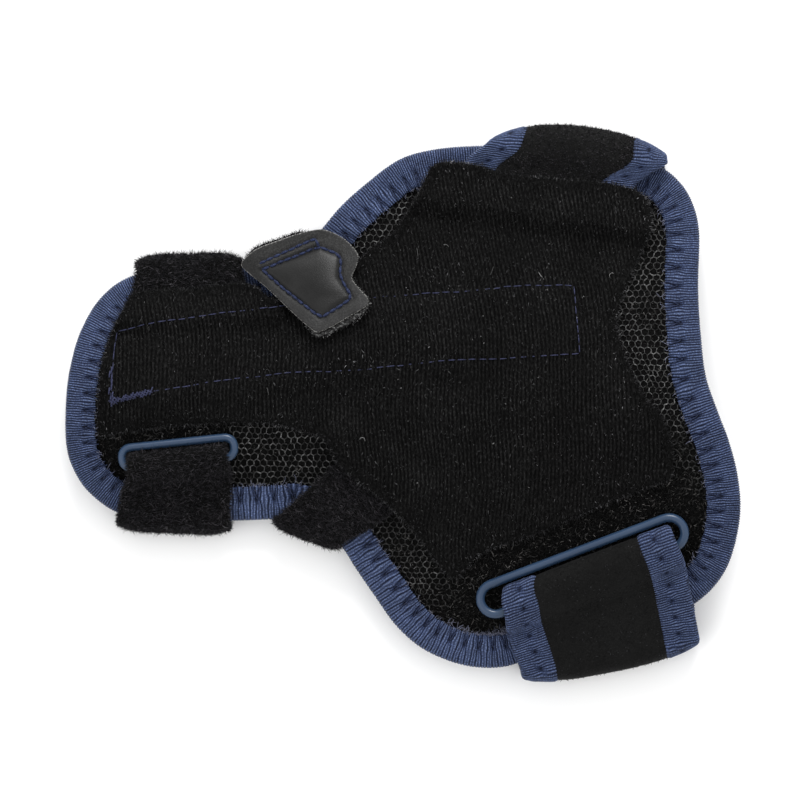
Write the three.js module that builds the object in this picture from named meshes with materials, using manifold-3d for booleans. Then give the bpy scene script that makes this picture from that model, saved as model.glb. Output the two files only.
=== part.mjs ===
// Thumb wrist brace, lying on its back: an arched padded body with a bound edge, a loop panel on its
// front, three straps that run behind it, two rings folded into straps' ends, and a pull tab.
// Millimetres, +Z up, +X along the body from the thumb end to the wrist end.
import * as THREE from 'three';
import { mergeVertices } from 'three/addons/utils/BufferGeometryUtils.js';
import Module from 'manifold-3d';

const wasm = await Module();
wasm.setup();

// Body: overall size of the bound outline, the foam sheet, and the arch of its middle
const BODY_LENGTH = 193;
const BODY_WIDTH = 151;
const BODY_THICKNESS = 2.4;
const THUMB_RISE = 9;
const WRIST_RISE = 15;
const CLEARANCE = 0.3;
const FACET_PLAY = 0.2;

// Elastic binding round the edge
const BINDING_WALL = 1.0;
const BINDING_SHOW = 9.7;

// Loop panel and the pocket of the stay under it
const PANEL_THICKNESS = 1.2;
const POCKET_HEIGHT = 0.8;
const POCKET_LENGTH = 133;
const POCKET_WIDTH = 16;
const SLOPE_WIDTH = 6;

// Straps: thickness, bound edges, how far each fold reaches past the body, and the join round a ring,
// whose join starts and rises by shares of the bar's distance to the strap's middle
const STRAP_THICKNESS = 2.0;
const WRIST_STRAP_THICKNESS = 2.4;
const WRIST_STRAP_BINDING = 10.3;
const THUMB_FOLD_TOP = 3.3;
const THUMB_FOLD_BOTTOM = 2.3;
const CROSS_FOLD = 2.4;
const WRIST_FOLD_TOP = 7.2;
const WRIST_FOLD_ARCH = 4.0;
const WRIST_FOLD_BOTTOM = 2.6;
const WRIST_FOLD_LIFT = 1.6;
const RETURN_LENGTH = 5;
const JOIN_START = 2.4;
const JOIN_HEIGHT = 0.72;

// Rings: outer length, distance between the two bars, bar's thickness, corner radius of the centre line,
// how far the strap's fold reaches from the held bar toward the free bar, and how far the strap sits
// from the ring's middle
const THUMB_RING = { length: 34.7, spacing: 5.8, bar: 2.4, corner: 1.6, reach: 4.2, slide: -0.3 };
const WRIST_RING = { length: 64.6, spacing: 8.8, bar: 2.6, corner: 4.4, reach: 7.0, slide: 1.2 };
const RING_END_PLAY = 0.5;

// Pull tab
const TAB_THICKNESS = 1.5;
const TAB_DOME = 0.6;
const HOOK_THICKNESS = 2.0;

// Heights over the body's middle surface, worked out from the layers
const BODY_TOP = BODY_THICKNESS / 2;
const BINDING_INSIDE = BODY_TOP + CLEARANCE + FACET_PLAY;
const BINDING_OUTSIDE = BINDING_INSIDE + BINDING_WALL;
const PANEL_BOTTOM = BODY_TOP + CLEARANCE + FACET_PLAY;
const PANEL_TOP = PANEL_BOTTOM + PANEL_THICKNESS;
const ON_BODY = BODY_TOP + CLEARANCE + FACET_PLAY + STRAP_THICKNESS / 2;
const ON_BINDING = BINDING_OUTSIDE + CLEARANCE + FACET_PLAY + STRAP_THICKNESS / 2;
const ON_PANEL = PANEL_TOP + CLEARANCE + STRAP_THICKNESS / 2;
const WIDE_ON_BINDING = BINDING_OUTSIDE + CLEARANCE + FACET_PLAY + WRIST_STRAP_THICKNESS / 2;
const EDGE_HEIGHT = WRIST_STRAP_THICKNESS + CLEARANCE + BINDING_OUTSIDE;

// How finely the faceted solids are divided
const EDGE_STEPS = 96;
const TAB_EDGE_STEPS = 40;
const HOOK_EDGE_STEPS = 24;
const BODY_CELL = 6.8;
const PANEL_CELL = 4.4;
const TAB_CELL = 4.5;
const FOLD_STEPS = 6;
const BAR_SIDES = 8;
const CORNER_STEPS = 5;
const SAME_POINT = 1e-5;
const SAME_SECTION = 0.01;
const STRAP_STEPS = 3;
const RUN_STEPS = 3;
const SLOPE_SHARE = 0.1;

// Bound outline, clockwise from the thumb end: shares of the body's length and of its width
const BODY_OUTLINE = [
  // along, across
  [0.000, 0.497], [0.006, 0.573], [0.022, 0.649], [0.051, 0.712], [0.092, 0.750], [0.177, 0.768],
  [0.259, 0.767], [0.311, 0.778], [0.352, 0.803], [0.380, 0.843], [0.407, 0.884], [0.447, 0.930],
  [0.496, 0.975], [0.541, 0.992], [0.608, 1.000], [0.720, 0.997], [0.823, 0.983], [0.888, 0.958],
  [0.921, 0.918], [0.936, 0.875], [0.941, 0.835], [0.938, 0.725], [0.941, 0.634], [0.948, 0.558],
  [0.964, 0.497], [0.981, 0.440], [0.994, 0.380], [1.000, 0.317], [0.996, 0.260], [0.981, 0.195],
  [0.956, 0.150], [0.923, 0.118], [0.860, 0.084], [0.780, 0.049], [0.700, 0.025], [0.650, 0.006],
  [0.606, 0.006], [0.566, 0.019], [0.526, 0.044], [0.490, 0.085], [0.459, 0.140], [0.431, 0.192],
  [0.407, 0.239], [0.380, 0.273], [0.347, 0.290], [0.308, 0.288], [0.244, 0.285], [0.177, 0.286],
  [0.110, 0.289], [0.068, 0.304], [0.028, 0.345], [0.010, 0.383], [0.001, 0.421],
];

// Loop panel's outline, clockwise from its thumb end's upper corner
const PANEL_OUTLINE = [
  // along, across
  [0.100, 0.717], [0.184, 0.727], [0.272, 0.736], [0.298, 0.713], [0.322, 0.704], [0.370, 0.740],
  [0.432, 0.778], [0.455, 0.805], [0.486, 0.833], [0.502, 0.863], [0.523, 0.903], [0.535, 0.939],
  [0.550, 0.964], [0.606, 0.962], [0.646, 0.947], [0.725, 0.935], [0.805, 0.926], [0.857, 0.903],
  [0.869, 0.848], [0.857, 0.806], [0.841, 0.761], [0.825, 0.710], [0.816, 0.664], [0.822, 0.619],
  [0.834, 0.579], [0.853, 0.528], [0.881, 0.482], [0.896, 0.431], [0.899, 0.391], [0.893, 0.364],
  [0.872, 0.355], [0.805, 0.321], [0.746, 0.288], [0.685, 0.256], [0.614, 0.222], [0.578, 0.176],
  [0.550, 0.207], [0.526, 0.252], [0.487, 0.306], [0.404, 0.398], [0.388, 0.438], [0.351, 0.457],
  [0.297, 0.471], [0.171, 0.467], [0.077, 0.454], [0.060, 0.452], [0.058, 0.509], [0.067, 0.590],
  [0.080, 0.640], [0.094, 0.680],
];

// Pull tab's outline, clockwise from its left corner
const TAB_OUTLINE = [
  // along, across
  [0.260, 0.772], [0.279, 0.799], [0.315, 0.818], [0.351, 0.833], [0.380, 0.839], [0.406, 0.827],
  [0.423, 0.810], [0.434, 0.789], [0.431, 0.767], [0.425, 0.746], [0.434, 0.729], [0.449, 0.706],
  [0.449, 0.696], [0.423, 0.674], [0.388, 0.649], [0.373, 0.643], [0.363, 0.651], [0.333, 0.685],
  [0.297, 0.729], [0.272, 0.755],
];

// Hook pad's outline under the tab's free end
const HOOK_OUTLINE = [
  // along, across
  [0.340, 0.696], [0.422, 0.751], [0.434, 0.727], [0.450, 0.702], [0.447, 0.685], [0.388, 0.639],
  [0.373, 0.636], [0.361, 0.651],
];

// Widening of the body from the thumb end's two edges to its full width, as shares
const THUMB_EDGES = { upper: 0.768, lower: 0.286 };
const WIDENING = { upperStart: 0.27, upperEnd: 0.56, lowerStart: 0.30, lowerEnd: 0.58 };
const RISING = { start: 0.25, end: 0.70 };

// Sections of each strap, left end and right end, in the order that the strap runs
const THUMB_SECTIONS = {
  // left along, left across, right along, right across
  root: [0.095, 0.700, 0.273, 0.717],
  topEdge: [0.104, 0.763, 0.258, 0.768],
  bottomEdge: [0.076, 0.293, 0.242, 0.284],
};
const CROSS_SECTIONS = {
  root: [0.4205, 0.4231, 0.5037, 0.3302],
  leaving: [0.3967, 0.3890, 0.4829, 0.3017],
  onBinding: [0.3655, 0.3529, 0.4532, 0.2751],
  bottomEdge: [0.3105, 0.2900, 0.4101, 0.2420],
  topEdge: [0.2719, 0.7780, 0.3655, 0.8200],
  underTab: [0.2912, 0.7495, 0.3878, 0.8008],
  end: [0.3135, 0.7192, 0.4071, 0.7780],
};
const WRIST_SECTIONS = {
  root: [0.588, 0.915, 0.853, 0.880],
  leaving: [0.587, 0.966, 0.855, 0.915],
  topEdge: [0.622, 1.000, 0.892, 0.964],
  bottomEdge: [0.666, 0.001, 0.941, 0.068],
};

// Rings' middle points and slant, up to the right
const THUMB_RING_PLACE = { along: 0.167, across: 0.4156, degrees: 6 };
const WRIST_RING_PLACE = { along: 0.7656, across: 0.2011, degrees: 21 };

// Places where the loop panel lies over a strap's sewn end
const STRAP_END_RISES = [
  // along, across, degrees, half length in mm, half depth in mm, height in mm
  [0.190, 0.722, 3, 23, 7, ON_BINDING + STRAP_THICKNESS / 2 + CLEARANCE - PANEL_BOTTOM],
  [0.712, 0.935, -8, 39, 10, WIDE_ON_BINDING + WRIST_STRAP_THICKNESS / 2 + CLEARANCE - PANEL_BOTTOM],
  [0.452, 0.368, -41, 14.5, 6.5, STRAP_THICKNESS + CLEARANCE],
];
const POCKET_PLACE = { along: 0.4146, across: 0.6243, degrees: 5.7 };

const mix = THREE.MathUtils.lerp;
const radians = THREE.MathUtils.degToRad;

function ease(share) {
  const held = THREE.MathUtils.clamp(share, 0, 1);
  return held * held * (3 - 2 * held);
}

function place(along, across) {
  return new THREE.Vector2(along * BODY_LENGTH, across * BODY_WIDTH);
}

// Height of the body's middle surface: flat at the long edges, raised between them
function surfaceHeight(x, y) {
  const along = x / BODY_LENGTH;
  const upperShare = ease((along - WIDENING.upperStart) / (WIDENING.upperEnd - WIDENING.upperStart));
  const lowerShare = ease((along - WIDENING.lowerStart) / (WIDENING.lowerEnd - WIDENING.lowerStart));
  const upper = mix(THUMB_EDGES.upper, 1, upperShare) * BODY_WIDTH;
  const lower = mix(THUMB_EDGES.lower, 0, lowerShare) * BODY_WIDTH;
  const fromMiddle = (y - (upper + lower) / 2) / ((upper - lower) / 2);
  const arch = Math.max(0, 1 - fromMiddle * fromMiddle) ** 2;
  const rise = mix(THUMB_RISE, WRIST_RISE, ease((along - RISING.start) / (RISING.end - RISING.start)));
  return EDGE_HEIGHT + rise * arch;
}

// A raised place with straight sides that slopes off over SLOPE_WIDTH
function raisedPlace(x, y, middle, degrees, halfLength, halfDepth, height) {
  const turned = new THREE.Vector2(x, y).sub(middle).rotateAround(new THREE.Vector2(), -radians(degrees));
  const beyondLength = Math.max(0, Math.abs(turned.x) - halfLength);
  const beyondDepth = Math.max(0, Math.abs(turned.y) - halfDepth);
  return height * ease(1 - Math.hypot(beyondLength, beyondDepth) / SLOPE_WIDTH);
}

function pocketRise(x, y) {
  const middle = place(POCKET_PLACE.along, POCKET_PLACE.across);
  const halfLength = POCKET_LENGTH / 2;
  const halfDepth = POCKET_WIDTH / 2;
  return raisedPlace(x, y, middle, POCKET_PLACE.degrees, halfLength, halfDepth, POCKET_HEIGHT);
}

function panelRise(x, y) {
  const rises = STRAP_END_RISES.map(([along, across, degrees, halfLength, halfDepth, height]) => (
    raisedPlace(x, y, place(along, across), degrees, halfLength, halfDepth, height)
  ));
  return Math.max(pocketRise(x, y), ...rises);
}

// Closed outline through its table's points, evenly spaced
function smoothOutline(table, steps) {
  const points = table.map(([along, across]) => {
    const point = place(along, across);
    return new THREE.Vector3(point.x, point.y, 0);
  });
  const curve = new THREE.CatmullRomCurve3(points, true, 'centripetal');
  return curve.getSpacedPoints(steps).slice(0, steps).map((p) => new THREE.Vector2(p.x, p.y));
}

// Inward directions of a clockwise outline
function inwardDirections(outline) {
  const count = outline.length;
  return outline.map((_, i) => {
    const before = outline[(i + count - 1) % count];
    const after = outline[(i + 1) % count];
    const ahead = after.clone().sub(before).normalize();
    return new THREE.Vector2(ahead.y, -ahead.x);
  });
}

function insetOutline(outline, distance) {
  const inward = inwardDirections(outline);
  return outline.map((point, i) => point.clone().addScaledVector(inward[i], distance));
}

// Closed surface from corner points and triangles, turned so that its faces point out
function solid(corners, triangles) {
  let volume = 0;
  for (const [a, b, c] of triangles) {
    volume += corners[a].dot(new THREE.Vector3().crossVectors(corners[b], corners[c]));
  }
  const facing = volume < 0 ? triangles.map(([a, b, c]) => [a, c, b]) : triangles;
  const geometry = new THREE.BufferGeometry();
  const values = corners.flatMap((p) => [p.x, p.y, p.z]);
  geometry.setAttribute('position', new THREE.Float32BufferAttribute(values, 3));
  geometry.setIndex(facing.flat());
  geometry.computeVertexNormals();
  return geometry;
}

// Solid through a row of closed sections; an open row is capped at its two ends
function loft(sections, closed) {
  const around = sections[0].length;
  const count = sections.length;
  const corners = sections.flat();
  const triangles = [];
  const spans = closed ? count : count - 1;
  for (let i = 0; i < spans; i += 1) {
    const here = i * around;
    const next = ((i + 1) % count) * around;
    for (let j = 0; j < around; j += 1) {
      const k = (j + 1) % around;
      triangles.push([here + j, next + j, next + k], [here + j, next + k, here + k]);
    }
  }
  if (!closed) {
    const last = (count - 1) * around;
    for (let j = 1; j < around - 1; j += 1) {
      triangles.push([0, j, j + 1], [last, last + j + 1, last + j]);
    }
  }
  return solid(corners, triangles);
}

function toManifold(geometry) {
  const bare = geometry.clone();
  bare.deleteAttribute('normal');
  bare.deleteAttribute('uv');
  const merged = mergeVertices(bare, SAME_POINT);
  const vertProperties = new Float32Array(merged.attributes.position.array);
  const triVerts = new Uint32Array(merged.index.array);
  return new wasm.Manifold(new wasm.Mesh({ numProp: 3, vertProperties, triVerts }));
}

function fromManifold(shape) {
  const mesh = shape.getMesh();
  const geometry = new THREE.BufferGeometry();
  geometry.setAttribute('position', new THREE.Float32BufferAttribute(mesh.vertProperties, 3));
  geometry.setIndex(Array.from(mesh.triVerts));
  geometry.computeVertexNormals();
  return geometry;
}

// Sheet between two height functions, cut to an outline
function curvedSheet(outline, cell, lowHeight, highHeight) {
  const box = new THREE.Box2().setFromPoints(outline).expandByScalar(1);
  const size = box.getSize(new THREE.Vector2());
  const columns = Math.ceil(size.x / cell);
  const rows = Math.ceil(size.y / cell);
  const sections = [];
  for (let i = 0; i <= columns; i += 1) {
    const x = mix(box.min.x, box.max.x, i / columns);
    const low = [];
    const high = [];
    for (let j = 0; j <= rows; j += 1) {
      const y = mix(box.min.y, box.max.y, j / rows);
      low.push(new THREE.Vector3(x, y, lowHeight(x, y)));
      high.push(new THREE.Vector3(x, y, highHeight(x, y)));
    }
    sections.push({ low, high });
  }
  const slab = toManifold(gridSolid(sections));
  const depth = EDGE_HEIGHT + WRIST_RISE + PANEL_TOP + size.x;
  const prism = new THREE.ExtrudeGeometry(new THREE.Shape(outline), { depth, bevelEnabled: false, steps: 1 });
  prism.translate(0, 0, -depth / 4);
  return fromManifold(slab.intersect(toManifold(prism)));
}

// Closed slab from columns of low and high points
function gridSolid(sections) {
  const rows = sections[0].low.length;
  const count = sections.length;
  const corners = sections.flatMap(({ low, high }) => [...low, ...high]);
  const low = (i, j) => i * 2 * rows + j;
  const high = (i, j) => low(i, j) + rows;
  const triangles = [];
  const quad = (a, b, c, d) => triangles.push([a, b, c], [a, c, d]);
  for (let i = 0; i < count - 1; i += 1) {
    for (let j = 0; j < rows - 1; j += 1) {
      quad(high(i, j), high(i + 1, j), high(i + 1, j + 1), high(i, j + 1));
      quad(low(i, j), low(i, j + 1), low(i + 1, j + 1), low(i + 1, j));
    }
    quad(low(i, 0), low(i + 1, 0), high(i + 1, 0), high(i, 0));
    quad(low(i + 1, rows - 1), low(i, rows - 1), high(i, rows - 1), high(i + 1, rows - 1));
  }
  for (let j = 0; j < rows - 1; j += 1) {
    quad(low(0, j + 1), low(0, j), high(0, j), high(0, j + 1));
    quad(low(count - 1, j), low(count - 1, j + 1), high(count - 1, j + 1), high(count - 1, j));
  }
  return solid(corners, triangles);
}

function bodyPanel() {
  const inset = BINDING_WALL + 2 * CLEARANCE;
  const outline = insetOutline(smoothOutline(BODY_OUTLINE, EDGE_STEPS), inset);
  const low = (x, y) => surfaceHeight(x, y) - BODY_TOP;
  const high = (x, y) => surfaceHeight(x, y) + BODY_TOP;
  return curvedSheet(outline, BODY_CELL, low, high);
}

// Binding's U section: distance inward from the edge, and height over the body's middle surface
function bindingSection() {
  const outside = BINDING_OUTSIDE;
  const inside = BINDING_INSIDE;
  const slope = BINDING_WALL * (1 - Math.SQRT1_2);
  const half = [
    [BINDING_SHOW, inside], [BINDING_SHOW, outside], [BINDING_SHOW / 2, outside], [BINDING_WALL, outside],
    [slope, outside - BINDING_WALL + slope],
  ];
  const inner = [
    [BINDING_WALL, inside - CLEARANCE], [BINDING_WALL + CLEARANCE, inside], [BINDING_SHOW / 2, inside],
  ];
  const mirrored = (rows) => rows.map(([inward, over]) => [inward, -over]).reverse();
  return [...half, [0, 0], ...mirrored(half), ...mirrored(inner), ...inner];
}

function edgeBinding() {
  const outline = smoothOutline(BODY_OUTLINE, EDGE_STEPS);
  const inward = inwardDirections(outline);
  const section = bindingSection();
  const sections = outline.map((point, i) => section.map(([distance, over]) => {
    const at = point.clone().addScaledVector(inward[i], distance);
    return new THREE.Vector3(at.x, at.y, surfaceHeight(at.x, at.y) + over);
  }));
  return loft(sections, true);
}

function loopPanel() {
  const low = (x, y) => surfaceHeight(x, y) + PANEL_BOTTOM + panelRise(x, y);
  const high = (x, y) => low(x, y) + PANEL_THICKNESS;
  return curvedSheet(smoothOutline(PANEL_OUTLINE, EDGE_STEPS), PANEL_CELL, low, high);
}

// A strap's section is a function from the share of its width to a point of its middle surface;
// this one follows the body's surface at a height over it
function strapRow([leftAlong, leftAcross, rightAlong, rightAcross], over) {
  const left = place(leftAlong, leftAcross);
  const right = place(rightAlong, rightAcross);
  return (share) => {
    const at = left.clone().lerp(right, share);
    return new THREE.Vector3(at.x, at.y, surfaceHeight(at.x, at.y) + over);
  };
}

// Sections between two others, each on the body's surface, so that the strap follows its curve
function strapRun(first, overFirst, last, overLast) {
  const rows = [];
  for (let step = 1; step < RUN_STEPS; step += 1) {
    const share = step / RUN_STEPS;
    const section = first.map((value, i) => mix(value, last[i], share));
    rows.push(strapRow(section, mix(overFirst, overLast, share)));
  }
  return rows;
}

function floorRow(row, thickness) {
  return (share) => row(share).setZ(thickness / 2);
}

// Half turn of a strap over the body's edge, between a front section and the back section below it;
// an arch is how much less it reaches at the strap's long edges than in its middle
function foldRows(front, back, reach, side, arch = 0) {
  const width = front(1).sub(front(0)).setZ(0).normalize();
  const outward = new THREE.Vector3(-width.y, width.x, 0).multiplyScalar(side);
  const rows = [];
  for (let step = 1; step < FOLD_STEPS; step += 1) {
    const angle = Math.PI * (0.5 - step / FOLD_STEPS);
    rows.push((share) => {
      const upper = front(share);
      const lower = back(share);
      const height = (1 + Math.sin(angle)) / 2;
      const out = reach - arch * (2 * share - 1) ** 2;
      return lower.lerp(upper, height).addScaledVector(outward, out * Math.cos(angle));
    });
  }
  return rows;
}

// A ring's frame: its held bar's middle, directions along the bar and across to the free bar
function ringFrame(ring, spot, thickness) {
  const slant = radians(spot.degrees);
  const alongBar = new THREE.Vector2(Math.cos(slant), Math.sin(slant));
  const acrossBars = new THREE.Vector2(-alongBar.y, alongBar.x);
  const middle = place(spot.along, spot.across);
  const overHeld = BODY_TOP + thickness + 2 * CLEARANCE + 2 * FACET_PLAY + ring.bar / 2;
  const overFree = BODY_TOP + CLEARANCE + FACET_PLAY + ring.bar / 2;
  const reach = ring.length / 2;
  const heldMiddle = middle.clone().addScaledVector(acrossBars, -ring.spacing / 2);
  const freeMiddle = middle.clone().addScaledVector(acrossBars, ring.spacing / 2);
  const lifted = (p, over) => new THREE.Vector3(p.x, p.y, surfaceHeight(p.x, p.y) + over);
  const left = lifted(heldMiddle.clone().addScaledVector(alongBar, -reach), overHeld);
  const right = lifted(heldMiddle.clone().addScaledVector(alongBar, reach), overHeld);
  const held = left.clone().add(right).multiplyScalar(0.5);
  const along = right.clone().sub(left).normalize();
  const across = lifted(freeMiddle, overFree).sub(held);
  across.addScaledVector(along, -across.dot(along)).normalize();
  return { held, along, across };
}

// Oblong ring with round bars: a rounded rectangle swept with a round section
function oblongRing(ring, frame) {
  const up = new THREE.Vector3().crossVectors(frame.along, frame.across);
  const halfLength = (ring.length - ring.bar) / 2 - ring.corner;
  const halfHeight = ring.spacing / 2 - ring.corner;
  const corners = [[1, 1, 0], [-1, 1, 90], [-1, -1, 180], [1, -1, 270]];
  const route = corners.flatMap(([sideX, sideY, start]) => {
    const turn = [];
    for (let step = 0; step <= CORNER_STEPS; step += 1) {
      const angle = radians(start + (90 * step) / CORNER_STEPS);
      const out = new THREE.Vector2(Math.cos(angle), Math.sin(angle));
      const x = sideX * halfLength + ring.corner * out.x;
      const y = sideY * Math.max(halfHeight, 0) + ring.corner * out.y;
      turn.push({ x, y, out });
    }
    return turn;
  });
  const centre = frame.held.clone().addScaledVector(frame.across, ring.spacing / 2);
  const sections = route.map(({ x, y, out }) => {
    const at = centre.clone().addScaledVector(frame.along, x).addScaledVector(frame.across, y);
    const outward = frame.along.clone().multiplyScalar(out.x).addScaledVector(frame.across, out.y);
    const section = [];
    for (let side = 0; side < BAR_SIDES; side += 1) {
      const angle = (2 * Math.PI * (side + 0.5)) / BAR_SIDES;
      const point = at.clone().addScaledVector(outward, (ring.bar / 2) * Math.cos(angle));
      section.push(point.addScaledVector(up, (ring.bar / 2) * Math.sin(angle)));
    }
    return section;
  });
  return loft(withoutRepeats(sections), true);
}

// Where two corners meet without a straight between them, their shared section is kept once
function withoutRepeats(sections) {
  return sections.filter((section, i) => {
    const before = sections[(i + sections.length - 1) % sections.length];
    return section[0].distanceTo(before[0]) > SAME_SECTION;
  });
}

// End of a strap: from its last edge section up to the ring, round the held bar and back under itself
function wrapRows(ring, frame, edgeRow, thickness) {
  const halfWidth = (ring.length - ring.bar) / 2 - ring.corner - RING_END_PLAY;
  const away = edgeRow(0.5).sub(frame.held);
  away.addScaledVector(frame.along, -away.dot(frame.along)).normalize();
  const up = new THREE.Vector3().crossVectors(away, frame.along);
  const over = ring.bar / 2 + CLEARANCE + thickness / 2;
  const reach = ring.reach - thickness / 2;
  const profile = [
    // distance back from the held bar, height over its middle
    [over * JOIN_START, 0],
    [over * JOIN_START / 2, over * JOIN_HEIGHT],
  ];
  for (let step = 0; step <= FOLD_STEPS; step += 1) {
    const angle = Math.PI * (0.5 - step / FOLD_STEPS);
    profile.push([-reach * Math.cos(angle), over * Math.sin(angle)]);
  }
  profile.push([RETURN_LENGTH, -over]);
  return profile.map(([back, height]) => (share) => (
    frame.held.clone()
      .addScaledVector(frame.along, (2 * share - 1) * halfWidth + ring.slide)
      .addScaledVector(away, back)
      .addScaledVector(up, height)
  ));
}

// Band through a strap's sections, between two shares of its width
function ribbon(rows, thickness, from, to) {
  const shares = [];
  for (let step = 0; step <= STRAP_STEPS; step += 1) {
    shares.push(mix(from, to, step / STRAP_STEPS));
  }
  const sections = rows.map((row, i) => {
    const before = rows[Math.max(0, i - 1)];
    const after = rows[Math.min(rows.length - 1, i + 1)];
    const high = [];
    const low = [];
    for (const share of shares) {
      const ahead = after(share).sub(before(share));
      const width = row(share + SLOPE_SHARE).sub(row(share - SLOPE_SHARE));
      const offset = ahead.cross(width).normalize().multiplyScalar(thickness / 2);
      high.push(row(share).add(offset));
      low.push(row(share).sub(offset));
    }
    return [...high, ...low.reverse()];
  });
  return loft(sections, false);
}

function thumbStrapRows(frame) {
  const top = strapRow(THUMB_SECTIONS.topEdge, ON_BINDING);
  const bottom = strapRow(THUMB_SECTIONS.bottomEdge, ON_BINDING);
  const topBack = floorRow(top, STRAP_THICKNESS);
  const bottomBack = floorRow(bottom, STRAP_THICKNESS);
  return [
    strapRow(THUMB_SECTIONS.root, ON_BINDING),
    top, ...foldRows(top, topBack, THUMB_FOLD_TOP, 1), topBack,
    bottomBack, ...foldRows(bottom, bottomBack, THUMB_FOLD_BOTTOM, -1).reverse(), bottom,
    ...wrapRows(THUMB_RING, frame, bottom, STRAP_THICKNESS),
  ];
}

function crossStrapRows() {
  const bottom = strapRow(CROSS_SECTIONS.bottomEdge, ON_BINDING);
  const top = strapRow(CROSS_SECTIONS.topEdge, ON_PANEL);
  const bottomBack = floorRow(bottom, STRAP_THICKNESS);
  const topBack = floorRow(top, STRAP_THICKNESS);
  const endHeight = ON_PANEL + POCKET_HEIGHT / 2;
  return [
    strapRow(CROSS_SECTIONS.root, ON_BODY),
    strapRow(CROSS_SECTIONS.leaving, ON_BODY),
    strapRow(CROSS_SECTIONS.onBinding, ON_BINDING),
    ...strapRun(CROSS_SECTIONS.onBinding, ON_BINDING, CROSS_SECTIONS.bottomEdge, ON_BINDING),
    bottom, ...foldRows(bottom, bottomBack, CROSS_FOLD, -1), bottomBack,
    topBack, ...foldRows(top, topBack, CROSS_FOLD, 1).reverse(), top,
    ...strapRun(CROSS_SECTIONS.topEdge, ON_PANEL, CROSS_SECTIONS.underTab, ON_PANEL),
    strapRow(CROSS_SECTIONS.underTab, ON_PANEL),
    ...strapRun(CROSS_SECTIONS.underTab, ON_PANEL, CROSS_SECTIONS.end, endHeight),
    strapRow(CROSS_SECTIONS.end, endHeight),
  ];
}

function wristStrapRows(frame) {
  const top = strapRow(WRIST_SECTIONS.topEdge, WIDE_ON_BINDING + WRIST_FOLD_LIFT);
  const bottom = strapRow(WRIST_SECTIONS.bottomEdge, WIDE_ON_BINDING);
  const topBack = floorRow(top, WRIST_STRAP_THICKNESS);
  const bottomBack = floorRow(bottom, WRIST_STRAP_THICKNESS);
  return [
    strapRow(WRIST_SECTIONS.root, WIDE_ON_BINDING),
    strapRow(WRIST_SECTIONS.leaving, WIDE_ON_BINDING),
    top, ...foldRows(top, topBack, WRIST_FOLD_TOP, 1, WRIST_FOLD_ARCH), topBack,
    bottomBack, ...foldRows(bottom, bottomBack, WRIST_FOLD_BOTTOM, -1).reverse(), bottom,
    ...wrapRows(WRIST_RING, frame, bottom, WRIST_STRAP_THICKNESS),
  ];
}

function pullTab() {
  const outline = smoothOutline(TAB_OUTLINE, TAB_EDGE_STEPS);
  const box = new THREE.Box2().setFromPoints(outline);
  const middle = box.getCenter(new THREE.Vector2());
  const half = box.getSize(new THREE.Vector2()).multiplyScalar(0.5);
  const overStrap = ON_PANEL + STRAP_THICKNESS / 2 + CLEARANCE + 2 * FACET_PLAY;
  const low = (x, y) => surfaceHeight(x, y) + overStrap + pocketRise(x, y);
  const high = (x, y) => {
    const away = Math.hypot((x - middle.x) / half.x, (y - middle.y) / half.y);
    return low(x, y) + TAB_THICKNESS + TAB_DOME * ease(1 - away);
  };
  return curvedSheet(outline, TAB_CELL, low, high);
}

function hookPad() {
  const low = (x, y) => surfaceHeight(x, y) + PANEL_TOP + CLEARANCE + FACET_PLAY + pocketRise(x, y);
  const high = (x, y) => low(x, y) + HOOK_THICKNESS;
  return curvedSheet(smoothOutline(HOOK_OUTLINE, HOOK_EDGE_STEPS), TAB_CELL, low, high);
}

const FINISHES = {
  foam: { color: 0x232325, roughness: 0.9, metalness: 0 },
  elastic: { color: 0x3c4657, roughness: 0.85, metalness: 0 },
  loop: { color: 0x171719, roughness: 0.95, metalness: 0 },
  fleece: { color: 0x1a1a1c, roughness: 0.95, metalness: 0 },
  neoprene: { color: 0x1b1b1c, roughness: 0.7, metalness: 0 },
  leather: { color: 0x3b3b3e, roughness: 0.5, metalness: 0 },
  hook: { color: 0x121214, roughness: 0.8, metalness: 0 },
  plastic: { color: 0x4a6476, roughness: 0.35, metalness: 0 },
};

function named(name, geometry, finish) {
  const mesh = new THREE.Mesh(geometry, new THREE.MeshStandardMaterial(FINISHES[finish]));
  mesh.name = name;
  return mesh;
}

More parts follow.
